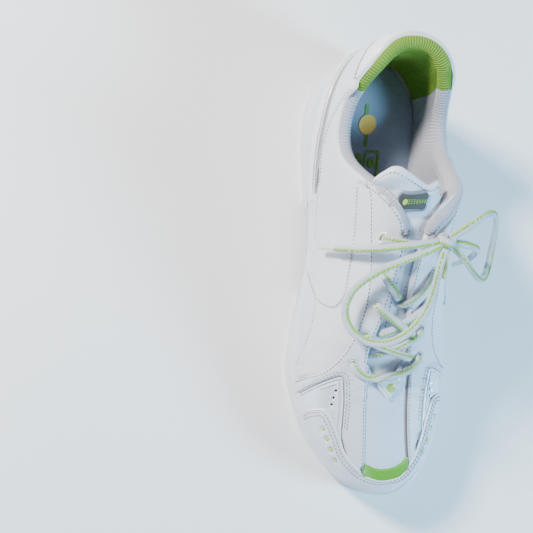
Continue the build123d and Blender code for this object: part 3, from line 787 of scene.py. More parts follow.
def moulded(name, colour, shade, roughness=0.5, coat=0.0):
    """Moulded foam or rubber: faint speckle, scuffs and a slightly uneven skin."""
    paint = Paint(name, colour, roughness, Coat_Weight=coat, Coat_Roughness=0.2)
    speckle = paint.cells(900.0, feature="SMOOTH_F1")
    scuff = paint.ramp(paint.noise(22.0, 6.0, rough=0.7), 0.0, 1.0, 0.52, 0.72)
    paint.tint(paint.blend(paint.math("MULTIPLY", scuff, 0.7), colour, shade))
    paint.gloss(paint.ramp(scuff, roughness, roughness + 0.2))
    paint.relief(speckle, 0.00005)
    paint.relief(paint.noise(140.0, 3.0), 0.00025, 0.5)
    return paint.material


def thread(name, colour, shade, metallic=0.0, roughness=0.6):
    """Twisted thread."""
    paint = Paint(name, colour, roughness, metallic)
    twist = paint.waves(900.0, direction="DIAGONAL", distortion=1.0)
    paint.tint(paint.blend(twist, colour, shade))
    paint.relief(twist, 0.00006)
    return paint.material


def lace_cloth(name, colour, shade):
    """Flat braid: two sets of diagonal strands, with painted shade in the hollows between them."""
    paint = Paint(name, colour, 0.75, Sheen_Weight=0.3)
    turns_round, turns_along = 3.1416 * 5, 3.1416 * 160
    one = paint.waves(1.0, paint.flat((turns_round, turns_along, 1)), "DIAGONAL")
    two = paint.waves(1.0, paint.flat((-turns_round, turns_along, 1)), "DIAGONAL")
    braid = paint.math("MAXIMUM", one, two)
    tone = paint.blend(paint.noise(60.0, 3.0), colour, shade)
    # painted shade: the hollows between the braid's strands are darkened towards a duller copy of the shade
    # colour
    paint.tint(paint.blend(paint.ramp(braid, 0.55, 0.0, 0.3, 0.9), tone, tuple(0.78 * c for c in shade)))
    paint.relief(braid, 0.0003)
    paint.relief(paint.noise(3000.0, 2.0), 0.00006)
    return paint.material


M = {
    "leather": leather("white_grain_leather", (0.72, 0.75, 0.80), (0.62, 0.67, 0.76)),
    "wing": leather("white_wing_leather", (0.71, 0.74, 0.79), (0.62, 0.66, 0.74), 1300.0, 0.00024),
    # painted shade: the vamp is the same white leather as the rest, coloured darker and bluer to stand for
    # the cool shade that falls on it
    "vamp": leather("white_vamp_leather_painted_blue_shade", (0.60, 0.69, 0.82), (0.52, 0.63, 0.79), 1700.0, 0.00018, 0.38),
    "smooth": smooth_coat("white_smooth_leather", (0.76, 0.78, 0.82), (0.68, 0.72, 0.79)),
    "pearl": pearl("pearl_window", (0.73, 0.77, 0.83), (0.64, 0.70, 0.79), 0.15, 0.26),
    "silver": pearl("silver_trim", (0.30, 0.31, 0.36), (0.20, 0.21, 0.26), 0.6, 0.34),
    "arch": pearl("silver_arch", (0.40, 0.42, 0.48), (0.31, 0.33, 0.40), 0.5, 0.36),
    "arch_pearl": pearl("pearl_arch", (0.66, 0.73, 0.84), (0.56, 0.65, 0.79), 0.2, 0.3),
    "piping": smooth_coat("silver_piping", (0.42, 0.43, 0.48), (0.32, 0.33, 0.38), 0.3, 0.3),
    "strip": smooth_coat("green_strip_leather", (0.13, 0.40, 0.03), (0.09, 0.31, 0.02), 0.3, 0.4),
    # each mesh's second colour serves for random drift and as painted shade in the rib grooves; its third
    # colour is painted shade in the knit holes
    "green_mesh": mesh_cloth("green_mesh", (0.42, 0.66, 0.09), (0.18, 0.36, 0.025), (0.06, 0.15, 0.008)),
    "white_mesh": mesh_cloth("white_mesh", (0.78, 0.79, 0.83), (0.50, 0.51, 0.60), (0.30, 0.31, 0.40)),
    "lining": woven("white_lining", (0.72, 0.74, 0.78), (0.62, 0.66, 0.72)),
    "tongue": leather("tongue_leather", (0.70, 0.76, 0.84), (0.58, 0.67, 0.79), 1800.0, 0.00014, 0.42),
    "tongue_back": woven("tongue_backing", (0.76, 0.72, 0.72), (0.68, 0.65, 0.67)),
    "board": woven("insole_board", (0.55, 0.52, 0.46), (0.46, 0.43, 0.38), 900.0),
    "counter": woven("counter_board", (0.62, 0.58, 0.50), (0.5, 0.47, 0.41), 900.0),
    # painted shade: the white sole's colour is darkened and blued all over to stand for the cool shade on it
    "sole": moulded("white_sole_painted_blue_shade", (0.62, 0.66, 0.73), (0.48, 0.51, 0.57), 0.36, coat=0.15),
    "rubber": moulded("white_rubber", (0.72, 0.73, 0.74), (0.55, 0.54, 0.52), 0.55),
    "shank": moulded("grey_shank", (0.52, 0.54, 0.58), (0.44, 0.46, 0.50), 0.4),
    # painted shade: the stitching is white thread, coloured dark grey here and dark blue below for its
    # shading and the shadows of its needle holes
    "thread": thread("thread_painted_grey_shade", (0.17, 0.17, 0.23), (0.10, 0.10, 0.15)),
    "pale_thread_painted_blue_shade": thread("pale_thread_painted_blue_shade", (0.24, 0.28, 0.40), (0.16, 0.19, 0.30)),
    "green_thread": thread("green_thread", (0.30, 0.60, 0.05), (0.20, 0.44, 0.03)),
    # painted shadow: a dark brown cord for the shadow in the gap of the vamp's lateral seam
    "seam": woven("painted_seam_shadow", (0.20, 0.13, 0.12), (0.13, 0.09, 0.09), 2400.0),
    "silver_thread": thread("silver_thread", (0.48, 0.47, 0.50), (0.30, 0.29, 0.32), 0.7, 0.35),
    "lace": lace_cloth("lace_braid", (0.74, 0.79, 0.85), (0.58, 0.68, 0.80)),
    "ring": smooth_coat("ring_plastic", (0.80, 0.81, 0.83), (0.72, 0.74, 0.78), 0.2, 0.6),
    "plug": smooth_coat("green_plug", (0.42, 0.60, 0.14), (0.34, 0.52, 0.08), 0.35, 0.3),
    "tag": pearl("gold_tag", (0.70, 0.66, 0.22), (0.58, 0.56, 0.16), 0.2, 0.35),
    "label": woven("label_weave", (0.05, 0.065, 0.065), (0.03, 0.042, 0.042), 2400.0, 0.7, 0.00008),
    "label_rim": pearl("label_rim", (0.24, 0.28, 0.36), (0.17, 0.20, 0.27), 0.25, 0.4),
    "sticker": smooth_coat("sticker_paper", (0.80, 0.47, 0.035), (0.72, 0.40, 0.03), 0.5, 0.1),
    "mark": smooth_coat("footbed_print", (0.13, 0.30, 0.06), (0.10, 0.23, 0.05), 0.7, 0.0),
    # painted shade: the white footbed inside the shoe is coloured dark blue-grey for the shade that falls on
    # it there
    "footbed": woven("footbed_cloth_painted_shade", (0.28, 0.35, 0.46), (0.21, 0.27, 0.37), 1700.0, 0.95, 0.0001),
    # painted shade: near-black colour for the discs that stand for the shade inside the punched holes
    "punched_hole_shade": moulded("painted_hole_shade", (0.02, 0.022, 0.03), (0.01, 0.01, 0.015), 0.9),
}


def clear_plastic():
    """The lace tips: slightly green, half clear plastic."""
    paint = Paint("aglet_plastic", (0.72, 0.86, 0.66), 0.12, Coat_Weight=0.6, Transmission_Weight=0.35,
                  IOR=1.46)
    paint.tint(paint.blend(paint.noise(240.0, 3.0), (0.66, 0.84, 0.58), (0.80, 0.90, 0.78)))
    paint.relief(paint.noise(300.0, 2.0), 0.0002, 0.5)
    return paint.material


M["aglet"] = clear_plastic()


# ================================================================ free laces
LACE_WIDTH, LACE_HEIGHT = 4.8, 3.1
LACE_SIDES, BRAID_PITCH = 18, 2.6
KNOT = (14.5, 129.5, 107.0)
LOOP_A = [(11, 131, 107.5), (-1, 135.5, 110), (-14, 139.5, 107.5), (-27, 145, 98),
          (-38, 154, 87), (-43, 167, 81), (-39, 180, 81), (-28, 188.5, 84), (-15, 188, 89),
          (-3, 181, 93), (5, 169.5, 97.5), (8, 156, 103), (9, 144, 108), (13, 134, 108.5)]
LOOP_B = [(17, 127.5, 107.5), (29.5, 121, 109), (43.5, 113.5, 106), (56, 112.5, 96), (63, 120, 84.5),
          (64, 133.5, 76.5), (59, 147.5, 78), (49, 154, 88), (38, 149.5, 98), (28, 139.5, 104),
          (18.5, 131.5, 106)]
END_A = [(11, 129, 107), (-3, 130.5, 110.5), (-16, 131.5, 107.5), (-27.5, 132, 98.5),
         (-36, 131, 86), (-40.5, 129.5, 70)]
END_B = [(18, 130, 105), (30, 131.5, 104.5), (41.5, 134, 97), (48, 137, 84.5), (50, 140, 69.5)]
AGLET_TIPS = {"lace_end_a": (-43.4, 127.6, 48.5), "lace_end_b": (50.6, 142.8, 48)}


def spline_points(route):
    """Points read from the smooth NURBS line of a route, in millimetres."""
    curve = bpy.data.curves.new("route", "CURVE")
    curve.dimensions = "3D"
    curve.resolution_u = 16
    spline = curve.splines.new("NURBS")
    spline.points.add(len(route) - 1)
    for point, (x, station, z) in zip(spline.points, route):
        point.co = (x * MM, float(y_at(station)) * MM, z * MM, 1)
    spline.order_u = 3
    spline.use_endpoint_u = True
    line = bpy.data.objects.new("route", curve)
    bpy.context.scene.collection.objects.link(line)
    bpy.context.view_layer.update()
    mesh = bpy.data.meshes.new_from_object(line)
    points = np.array([v.co for v in mesh.vertices]) / MM
    bpy.data.objects.remove(line)
    bpy.data.meshes.remove(mesh)
    keep = np.concatenate([[True], np.linalg.norm(np.diff(points, axis=0), axis=1) > 0.05])
    return points[keep]


def carried_normals(path):
    """Directions across a path that turn as little as they can along it, and lean upwards."""
    way = unit(np.gradient(path, axis=0))
    normal = np.array((0.0, 0.0, 1.0))
    lean = np.array((0, 0, 0.06))
    out = []
    for k in range(len(path)):
        normal = normal + lean
        normal = normal - way[k] * normal.dot(way[k])
        normal /= np.linalg.norm(normal)
        out.append(normal)
    return np.array(out)


class LaceStitches(Stitching):
    """The green stitched line along a lace."""

    PITCH = 1.45
    SIZE = (1.05, 0.58, 0.32)

    def along(self, path, normals, side=0.9):
        """Slanted stitches along a lace, side millimetres off its middle."""
        way = unit(np.gradient(path, axis=0))
        across = np.cross(normals, way)
        length = run_along(path)
        top = LACE_HEIGHT / 2 * math.sqrt(max(0.0, 1 - (side / (LACE_WIDTH / 2)) ** 2))
        for at in np.arange(0.8, length[-1] - 0.6, self.PITCH):
            k = int(np.searchsorted(length, at))
            centre = path[k] + across[k] * side + normals[k] * (top + 0.02)
            slant = unit(way[k] * 0.55 + across[k] * 0.83)
            self.add(centre, self.SIZE, slant, np.cross(normals[k], slant), normals[k])


def braided(path, normals, width=LACE_WIDTH, height=LACE_HEIGHT, ends=(1.0, 1.0)):
    """Vertices, faces and flat coordinates of a lace with braid ridges."""
    length = run_along(path)
    share = np.clip(np.minimum(length / 3.0, 1), 0, 1) * (1 - ends[0]) + ends[0]
    tail = np.clip(np.minimum((length[-1] - length) / 3.0, 1), 0, 1) * (1 - ends[1]) + ends[1]
    pull = 1 + 0.05 * np.sin(length * 2 * np.pi / 37.0) + 0.035 * np.sin(length * 2 * np.pi / 11.0)
    wide, high = width / 2 * share * tail * pull, height / 2 * share * tail * (2 - pull)
    vertices, faces, place = tube_mesh(path, normals, wide, high, LACE_SIDES)
    turn, run = place[:, 0] * 2 * np.pi, place[:, 1] * 2 * np.pi / BRAID_PITCH
    ridges = np.sin(3 * turn + run) * np.sin(3 * turn - run)
    middle = np.repeat(path, LACE_SIDES, axis=0)
    vertices = middle + (vertices - middle) * (1 + 0.05 * ridges[:, None])
    return vertices, faces, place * (1, MM)


def make_laces():
    """The bow: two loops and two ends with their clear tips, and the green stitching on them."""
    routes = {"lace_loop_a": LOOP_A, "lace_loop_b": LOOP_B, "lace_end_a": END_A, "lace_end_b": END_B}
    for name, route in routes.items():
        path = spline_points(route)
        normals = carried_normals(path)
        vertices, faces, flat = braided(path, normals)
        lace = new_object(name + "_braid", vertices, faces, M["lace"], uv=flat)
        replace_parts(lace, name)
        green = LaceStitches()
        green.along(path, normals)
        green.finish(name + "_stitches", M["green_thread"], slot="lace")
        if name in AGLET_TIPS:
            x, station, z = AGLET_TIPS[name]
            tip = np.array((x, y_at(station), z))
            way = (tip - path[-1]) / np.linalg.norm(tip - path[-1])
            marks = np.linspace(0, 1, 14)
            stick = path[-1] + (tip - path[-1]) * marks[:, None] - way * 1.5
            lean = normals[-1] - way * normals[-1].dot(way)
            radius = np.interp(marks, (0, 0.06, 0.94, 1), (1.75, 1.95, 1.75, 1.1))
            vertices, faces, _ = tube_mesh(stick, np.tile(lean, (14, 1)), radius, radius * 0.86, LACE_SIDES)
            aglet = new_object(name.replace("lace_end", "clear_tip"), vertices, faces, M["aglet"])
            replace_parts(aglet, name.replace("lace_end", "aglet"))


make_laces()


# ================================================================ seams and edges on the upper
def place(side, *points):
    """Flat coordinates from x, station pairs and from station, height ones marked with a third True."""
    out = []
    for point in points:
        if len(point) == 3:
            out.append(upper.side(side, [point[:2]])[0])
        else:
            out.append(upper.plan([point])[0])
    return np.array(out)


THROAT_MEDIAL = [(-27, 90), (-21, 99), (-15, 107), (-10.5, 115), (-8, 126), (-9.5, 142), (-12, 160),
                 (-16.5, 180), (-20, 192), (-20.5, 202)]
THROAT_LATERAL = [(29, 90), (20, 99), (12, 107), (6.5, 115), (3, 125), (1, 136), (0, 150), (0.5, 165),
                  (3, 178), (4.8, 190), (4, 199)]
THROATS = {"medial": np.array(THROAT_MEDIAL, float), "lateral": np.array(THROAT_LATERAL, float)}
COLLAR_FRONT = 126.0         # the collar's mesh ends here, on both sides of the throat
COLLAR_DROP = 1.3            # leather ends this far below the top of the collar roll


def edge_angles(side, stations):
    """Angle of the opening's edge: the topline, or the throat where that is wider."""
    low = angle_from_side(side, stations, profile(TOPLINE[side], stations))
    throat = THROATS[side]
    x = hermite(throat[:, 1], throat[:, 0], stations)
    front = angle_from_plan(x, stations)
    if side == "medial":
        angle = np.where(stations > 92, np.maximum(low, front), low)
    else:
        angle = np.where(stations > 92, np.minimum(low, front), low)
    kernel = np.exp(-0.5 * (np.arange(-8, 9) / 3.5) ** 2)
    padded = np.concatenate([np.full(8, angle[0]), angle, np.full(8, angle[-1])])
    return np.convolve(padded, kernel / kernel.sum(), "valid")


EDGE_STATIONS = np.arange(5.5, COLLAR_FRONT + 0.1, 1.0)
EDGES = {side: edge_angles(side, EDGE_STATIONS) for side in SIDES}


def edge_drop(side, stations):
    """How far the leather's edge runs below the top of the collar roll."""
    if side == "lateral":
        return np.interp(stations, (80, 96, 112, 124), (COLLAR_DROP, 5.0, 6.0, 3.0))
    return np.interp(stations, (84, 100, 124), (COLLAR_DROP, 2.4, 2.6))


def collar_edge(side, first, last):
    """Flat points of the leather's edge round the opening, from one station to another."""
    count = max(3, int(abs(last - first) / 3))
    stations = np.linspace(first, last, count)
    flat = upper.flat(stations, np.interp(stations, EDGE_STATIONS, EDGES[side]))
    drop = edge_drop(side, stations)
    flat[:, 1] -= drop if side == "lateral" else -drop
    return flat


def silver_top(side, first, last, up=0.0):
    """Flat points up above the silver trim's top line, between two stations."""
    stations = np.linspace(first, last, max(3, int(abs(last - first) / 5)))
    return upper.side(side, np.stack([stations, profile(SILVER_TOP, stations) + up], -1))


SILVER_TOP = [(-8, 58), (16, 57), (28, 56), (47, 51), (67, 41.5), (87, 31.5), (108, 25.5),
              (124, 23.5), (140, 26.5), (155, 33), (168, 36.5), (180, 35.5), (192, 29), (206, 17)]
SEAMS = {
    "medial": {
        "eyestay": place("medial", (-31, 84), (-28, 97), (-25.7, 122), (-24.7, 142), (-25.5, 162), (-28, 177),
                         (-31.5, 188), (-37, 198), (-44, 205.7), (208, 36, True), (210.5, 26, True),
                         (212, 14, True)),
        "window": place("medial", (222, 14, True), (219.5, 26, True), (-46, 214), (-41.2, 210.8)),
        "window_inner": place("medial", (-33, 211.7), (-31.8, 226), (-31.6, 242.7), (-31.2, 249)),
        "mudguard": place("medial", (233, 12, True), (232.5, 24, True), (-47, 231), (-44, 229.3),
                          (-41, 229.8), (-38, 234.5), (-33, 247), (-28.5, 258.5), (-22.5, 266.5),
                          (-16.5, 272)),
        "vamp": place("medial", (-19.7, 201), (-19.2, 212), (-18.5, 231), (-17.3, 253), (-16.6, 267)),
        "leaf": place("medial", (-30.5, 92), (-29.4, 113), (-29.6, 129), (-31.2, 145.3), (-33.6, 160),
                      (-37.4, 166.6), (166.8, 53, True), (163.8, 43, True), (157.5, 33, True),
                      (149.5, 23, True), (142, 13, True)),
    },
    "lateral": {
        "eyestay": place("lateral", (30, 84), (28, 97), (25, 122), (24, 142), (23, 162), (22.5, 175),
                         (25, 188), (30, 198), (38, 205.7), (208, 36, True), (211, 26, True),
                         (213, 14, True)),
        "window": place("lateral", (224, 14, True), (221, 27, True), (41, 213.5), (34, 210)),
        "window_inner": place("lateral", (24.2, 210), (22.6, 224), (22.5, 240), (22.8, 247)),
        "mudguard": place("lateral", (229, 12, True), (228.5, 24, True), (42, 227), (36, 226), (31.5, 228),
                          (28, 235), (22.5, 254), (18.5, 264), (13.5, 271)),
        "vamp": place("lateral", (8.2, 201), (8.8, 214), (9.7, 233.5), (11.4, 252), (13.3, 266)),
        "leaf": place("lateral", (91, 88, True), (110, 83, True), (130, 77, True), (146, 73.5, True),
                      (158, 69, True), (166.5, 62.5, True), (167.3, 57, True), (160, 46.5, True),
                      (148, 34.5, True), (136, 26, True), (126, 17, True)),
    },
}
SEAMS = {side: {key: smooth_line(line) for key, line in lines.items()} for side, lines in SEAMS.items()}


def below_edge(side, line):
    """The part of a line that lies on the leather, outside the opening."""
    stations = np.interp(line[:, 0], upper.lengths, upper.rows)
    edge = upper.flat(stations, np.interp(stations, EDGE_STATIONS, EDGES[side]))[:, 1]
    sign = 1 if side == "medial" else -1
    return line[(sign * (line[:, 1] - edge) > edge_drop(side, stations)) | (stations > COLLAR_FRONT)]


for side in SIDES:
    for seam in ("eyestay", "leaf"):
        SEAMS[side][seam] = below_edge(side, SEAMS[side][seam])


def inward(outline, line, distance):
    """line moved into the outline by distance."""
    moved = beside(line, distance)
    good = inside(np.asarray(outline), moved)
    other = beside(line, -distance)
    return moved if good.sum() >= inside(np.asarray(outline), other).sum() else other


def trimmed(line, start, end):
    """A stretch of a line, by shares of its length."""
    count = len(line)
    return line[int(start * count):max(int(end * count), int(start * count) + 2)]


# ================================================================ leather panels
# the first two row sets are white thread painted in dark grey and dark blue shade; the green rows are truly
# green
grey_shade_rows, pale, green = Stitching(), Stitching(), Stitching()


def tube_on(name, patch, line, radius, material, lift):
    """A thin cord or piping, slightly flattened, laid on the surface along flat points."""
    points, normals = patch.at(line, lift)
    vertices, faces, flat = tube_mesh(points, normals, radius, radius * 0.85, around=10)
    return new_object(name, vertices, faces, material, SHOE, uv=flat * MM)


def make_toe():
    """Vamp, green strip, mudguard with its plugs and its double stitching."""
    left, right = SEAMS["medial"]["vamp"], SEAMS["lateral"]["vamp"]
    rear = upper.plan([(4.2, 198), (4, 200.5), (1, 207.5), (-6, 211), (-15, 209), (-20, 202), (-20.3, 198)])
    front = upper.plan([(-20, 270), (-9, 273), (0, 274), (8, 272), (17, 266)])
    outline = np.concatenate([smooth_line(rear)[:-1], beside(left, 4.0), smooth_line(front)[1:-1],
                              beside(right, -4.0)[::-1]])

    def crown(flat, distance):
        """Fullest along the middle, with fine creases where the toes bend."""
        creases = 0.16 * np.sin(flat[:, 0] * 0.95 + 0.25 * flat[:, 1])
        creases = creases * np.exp(-((flat[:, 0] - 236) / 16) ** 2)
        return 0.9 * np.clip(1 - (flat[:, 1] / 17) ** 2, 0, 1) + creases

    vamp = panel("vamp", upper, outline, -0.25, M["vamp"], slot="white_leather", shape=crown, sunk=-2.4)
    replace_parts(vamp, "vamp_panel")
    back = smooth_line(upper.plan([(-16.8, 265.5), (-9, 269.2), (0, 269.8), (8, 267.3), (13.2, 262.3)]), 0.4)
    wavy = back.copy()
    wavy[:, 0] += 0.22 * np.sin(np.arange(len(back)) * 0.4 * 2 * np.pi / 1.9)
    ahead = smooth_line(upper.plan([(15.5, 271), (8, 280), (-4, 281.5), (-18, 275)]))
    strip_outline = np.concatenate([wavy, ahead])
    strip = panel("toe_strip_leather", upper, strip_outline, 1.0, M["strip"], slot="green_trim", edge=0.7,
                  grid=1.0)
    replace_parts(strip, "toe_strip")
    hem = Stitching()
    hem.row(upper, inward(strip_outline, back, 1.6), 1.05, 2.0, 1.3, 0.45)
    hem.finish("toe_strip_stitches", M["green_thread"], slot="green_trim")
    # painted shadow: a thin dark cord along the lateral vamp seam stands for the shadow in the gap between
    # the panels
    tube_on("vamp_seam_shadow_lateral", upper, beside(trimmed(right, 0.04, 0.97), 0.35), 0.5, M["seam"], 0.75)

    medial, lateral = SEAMS["medial"]["mudguard"], SEAMS["lateral"]["mudguard"]
    tip = upper.plan([(-14.5, 273.5), (-4, 277.5), (7.5, 276.5), (12, 273)])
    edge = np.concatenate([medial[:-1], smooth_line(tip)[1:-1], lateral[::-1][1:]])
    low = [upper.flat(s, np.radians(-3.5))[0] for s in np.linspace(229, 286.5, 40)]
    high = [upper.flat(s, np.radians(183.5))[0] for s in np.linspace(286.5, 233, 40)]
    outline = np.concatenate([edge, np.array(low), np.array(high)])
    caps = [centre for side, dots in PLUGS.items() for centre in place(side, *dots)]
    turn = np.linspace(0, 2 * np.pi, 13)[:-1]
    holes = [centre + 1.35 * np.stack([np.cos(turn), 0.8 * np.sin(turn)], -1) for centre in caps]
    guard = panel("mudguard_leather", upper, outline, 1.5, M["leather"], slot="smooth_leather", edge=1.3,
                  puff=0.35, puff_width=6, holes=holes, grid=2.0)
    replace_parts(guard, "mudguard")
    vertices, faces = [], []
    for centre in caps:
        point, normal = upper.at(centre[None], 1.1)
        add_dome(vertices, faces, point[0], normal[0], 1.45, 0.5)
    plug = new_object("mudguard_dots", np.concatenate(vertices), faces, M["plug"])
    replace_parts(plug, "mudguard_plugs")
    for distance in (1.7, 3.9):
        pale.row(upper, inward(outline, edge, distance), 1.62 + 0.1 * distance, 2.5, 1.6)
    for side, line in (("medial", medial), ("lateral", lateral)):
        tube_on("mudguard_piping_" + side, upper, trimmed(line, 0.14, 0.98), 0.75, M["smooth"], 1.15)


PLUGS = {"medial": [(-40.3, 242), (-37.9, 248.6), (-35, 255.7), (-31.4, 263)],
         "lateral": [(35.5, 240), (32.5, 247.5), (29, 255), (24.5, 262)]}
HOLES = {"medial": [(-36.9, 218), (-37.8, 222.5), (-38.4, 226.8)],
         "lateral": [(28.4, 217), (29.4, 221.5), (29.8, 226)]}
EYELETS = {
    "medial": [(-20.6, 125), (-18.6, 145.8), (-19.9, 164.2), (-23.6, 183), (-28.8, 200.5)],
    "lateral": [(16.5, 126), (14.5, 146), (13.2, 164.5), (13.2, 181.5), (14.6, 198.5)],
}


def add_dome(vertices, faces, centre, normal, radius, rise, rings=4, around=14):
    """Adds a shallow button to lists of vertices and faces."""
    count = sum(len(v) for v in vertices)
    a = np.cross(normal, (0.3, 0.9, 0.2))
    a /= np.linalg.norm(a)
    b = np.cross(normal, a)
    turn = np.linspace(0, 2 * np.pi, around + 1)[:-1]
    levels = [(1.0, -1.2), (1.0, 0.0)] + [(math.cos(t), math.sin(t)) for t in np.linspace(0.3, 1.35, rings)]
    out = []
    for reach, up in levels:
        height = normal * (rise * up if up > 0 else up)
        out.append(centre + height + radius * reach * (np.cos(turn)[:, None] * a + np.sin(turn)[:, None] * b))
    vertices.append(np.concatenate(out))
    faces += ring_faces(len(levels), around, count)
    top = count + around * (len(levels) - 1)
    faces.append(tuple(range(top, top + around)))


def circle(centre, radius, count=14):
    turn = np.linspace(0, 2 * np.pi, count + 1)[:-1]
    return centre + radius * np.stack([np.cos(turn), np.sin(turn)], -1)


WINDOW_CORNERS = {"medial": [(-41.2, 210.8), (-37.5, 209.2), (-35, 208.9), (-33.6, 209.8), (-33, 211.7)],
                  "lateral": [(34, 210), (29, 207.8), (26.5, 207.2), (24.8, 208), (24.2, 210)]}


def window_rim(side):
    """The window's edge against the eyestay, with its rounded top corner."""
    top = smooth_line(place(side, *WINDOW_CORNERS[side]))
    return np.concatenate([SEAMS[side]["window"], top[1:-1], SEAMS[side]["window_inner"]])


def make_windows(side):
    """The pearl panel between eyestay and mudguard, with its piping and three punched holes."""
    rim = window_rim(side)
    under = {"medial": [(-29.5, 257), (-36, 256), (-42, 246), (-46, 238), (240, 12, True)],
             "lateral": [(21.5, 255), (27, 252), (33, 244), (38, 236), (236, 12, True)]}[side]
    outline = np.concatenate([rim, smooth_line(place(side, *under), 2.0)])
    punched = place(side, *HOLES[side])
    holes = [circle(c, 0.72, 10) for c in punched]
    pane = panel(f"window_{side}_pane", upper, outline, -0.1, M["pearl"], slot="pearl_panel", holes=holes,
                 puff=0.9, puff_width=10, sunk=-1.2, grid=1.8)
    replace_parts(pane, f"window_{side}")
    # painted shade: near-black discs under the punched holes stand for the shade inside them
    vertices, faces = [], []
    for c in punched:
        point, normal = upper.at(c[None], -0.9)
        add_dome(vertices, faces, point[0], normal[0], 1.25, 0.05, 2, 12)
    new_object(f"window_{side}_hole_shade_discs", np.concatenate(vertices), faces, M["punched_hole_shade"])
    outer, inner = inward(outline, rim, 0.9), inward(outline, trimmed(rim, 0.34, 1.0), 3.6)
    tube_on(f"window_{side}_piping", upper, outer, 0.62, M["smooth"], 0.5)
    tube_on(f"window_{side}_inner_piping", upper, inner, 0.5, M["smooth"], 0.72)


def make_eyestay(side):
    """The facing: both sides of the throat and down the T-bar to the mudguard, with five eyelets."""
    lines = SEAMS[side]
    rim = window_rim(side)
    under = {"medial": [(-29, 262), (-22, 270), (-17.5, 272.5)],
             "lateral": [(20, 262), (16.5, 268.5), (14.5, 270)]}[side]
    under = smooth_line(place(side, *under), 2.0)
    throat = THROATS[side][THROATS[side][:, 1] > 124]
    throat = smooth_line(upper.plan(throat))
    first = float(np.interp(lines["eyestay"][0, 0], upper.lengths, upper.rows))
    collar = collar_edge(side, first, 124)
    outline = np.concatenate([lines["eyestay"], rim[1:], under, lines["vamp"][::-1][1:], throat[::-1],
                              collar[::-1]])
    centres = place(side, *EYELETS[side])
    holes = [circle(c, 1.9 if k else 1.7) for k, c in enumerate(centres)]
    sign = -1 if side == "medial" else 1

    def folds(flat, distance):
        """Soft creases where the forefoot bends, and a slight dip round each eyelet."""
        bend = 0.22 * np.sin(0.85 * flat[:, 0] + 0.3 * sign * flat[:, 1])
        bend = bend * np.exp(-((flat[:, 0] - 232) / 15) ** 2)
        dips = sum(-0.5 * np.exp(-((flat - c) ** 2).sum(1) / 9.0) for c in centres[1:])
        return bend + dips

    stay = panel(f"eyestay_{side}_leather", upper, outline, 1.25, M["wing"], slot="white_leather",
                 holes=holes, edge=1.0, sunk=-2.0, shape=folds, grid=2.2)
    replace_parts(stay, f"eyestay_{side}")
    for line, distance, rows in ((trimmed(lines["eyestay"], 0.05, 0.97), 1.5, grey_shade_rows),
                                 (trimmed(rim, 0.02, 0.90), 1.5, pale),
                                 (trimmed(rim, 0.30, 0.92), 3.3, pale),
                                 (trimmed(lines["vamp"], 0.05, 0.97), 1.5, pale),
                                 (trimmed(throat, 0.02, 0.98), 1.9, grey_shade_rows),
                                 (collar_edge(side, first + 2, 123), 1.6, grey_shade_rows)):
        rows.row(upper, inward(outline, line, distance), 1.28)


def below_sole(side, first, last, count=30):
    """Flat points tucked below the feather line."""
    angle = -3.4 if side == "lateral" else 183.4
    stations = np.linspace(first, last, count)
    return upper.flat(stations, np.full(count, np.radians(angle)))


def make_side(side):
    """The side panel with its green stitching, and the silver arch under it."""
    lines = SEAMS[side]
    stay = lines["eyestay"]
    into = 6.0
    hidden = below_edge(side, inward_side(side, trimmed(stay, 0.0, 0.90), into))
    first = float(np.interp(hidden[0, 0], upper.lengths, upper.rows))
    cap = collar_edge(side, 82, first - 1.5)
    edge = silver_top(side, 206, 112, 0.0)
    back = smooth_line(upper.side(side, [(108, 24), (104, 40), (102, 60), (100, 80)]), 2.0)
    outline = np.concatenate([cap, hidden, below_sole(side, 213, 208, 4), smooth_line(edge), back])
    crease = 1 if side == "medial" else -1

    def soft(flat, distance):
        """Shallow waves over the ball of the foot."""
        u, v = flat[:, 0], flat[:, 1]
        waves = np.sin(0.42 * u + 0.12 * crease * v) + 0.6 * np.sin(0.23 * v - 0.3 * u)
        return 0.16 * waves * np.exp(-((flat[:, 0] - 205) / 30) ** 2)

    side_panel = panel(f"side_panel_{side}_leather", upper, outline, 0.55, M["wing"], slot="white_leather",
                       shape=soft)
    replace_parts(side_panel, f"side_panel_{side}")
    green.row(upper, inward(outline, smooth_line(silver_top(side, 203, 126)), 1.6), 0.62, 2.6, 1.6)
    arch_top = smooth_line(silver_top(side, 210, 90, 3.0))
    arch_outline = np.concatenate([arch_top, below_sole(side, 90, 211)])
    arch = panel(f"silver_arch_{side}_panel", upper, arch_outline, 0.0,
                 M["arch" if side == "lateral" else "arch_pearl"], slot="silver_trim", puff=0.4)
    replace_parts(arch, f"silver_arch_{side}")


def inward_side(side, line, distance):
    """A line moved towards the ridge."""
    moved = line.copy()
    moved[:, 1] += distance if side == "lateral" else -distance
    return moved


def heel_line(side, *points):
    return heel.side(side, points)


TAB_SEAM = [(-8, 77), (8, 78.5), (20, 81.5), (34, 83.5)]
HEEL_SEAM = [(34.5, 92), (35.5, 84), (39, 76), (45, 68), (56, 56), (68, 47), (84, 41), (92, 31)]


PROFILE_ROW = 20             # the heel patch's row, 54 mm up, that turns lengths round it into stations


def heel_profile(points, first, last, shift=0.0):
    """Points of a height profile on the heel patch, between two lengths round the heel."""
    rounds = np.linspace(first, last, max(4, int(abs(last - first) / 3)))
    out = []
    line = heel.points[PROFILE_ROW]
    for r in rounds:
        y = np.interp(r, heel.rounds, line[:, 1])
        out.append((r, float(profile(points, SOLE_LENGTH / 2 - y)) + shift))
    return np.array(out)


def topline_on_heel(first, last, drop):
    """Points below the collar's top on the heel patch, from one length round it to another."""
    lateral = heel_profile(TOPLINE["lateral"], first, last, -drop)
    medial = heel_profile(TOPLINE["medial"], first, last, -drop)
    return np.where(lateral[:, :1] > 0, lateral, medial)


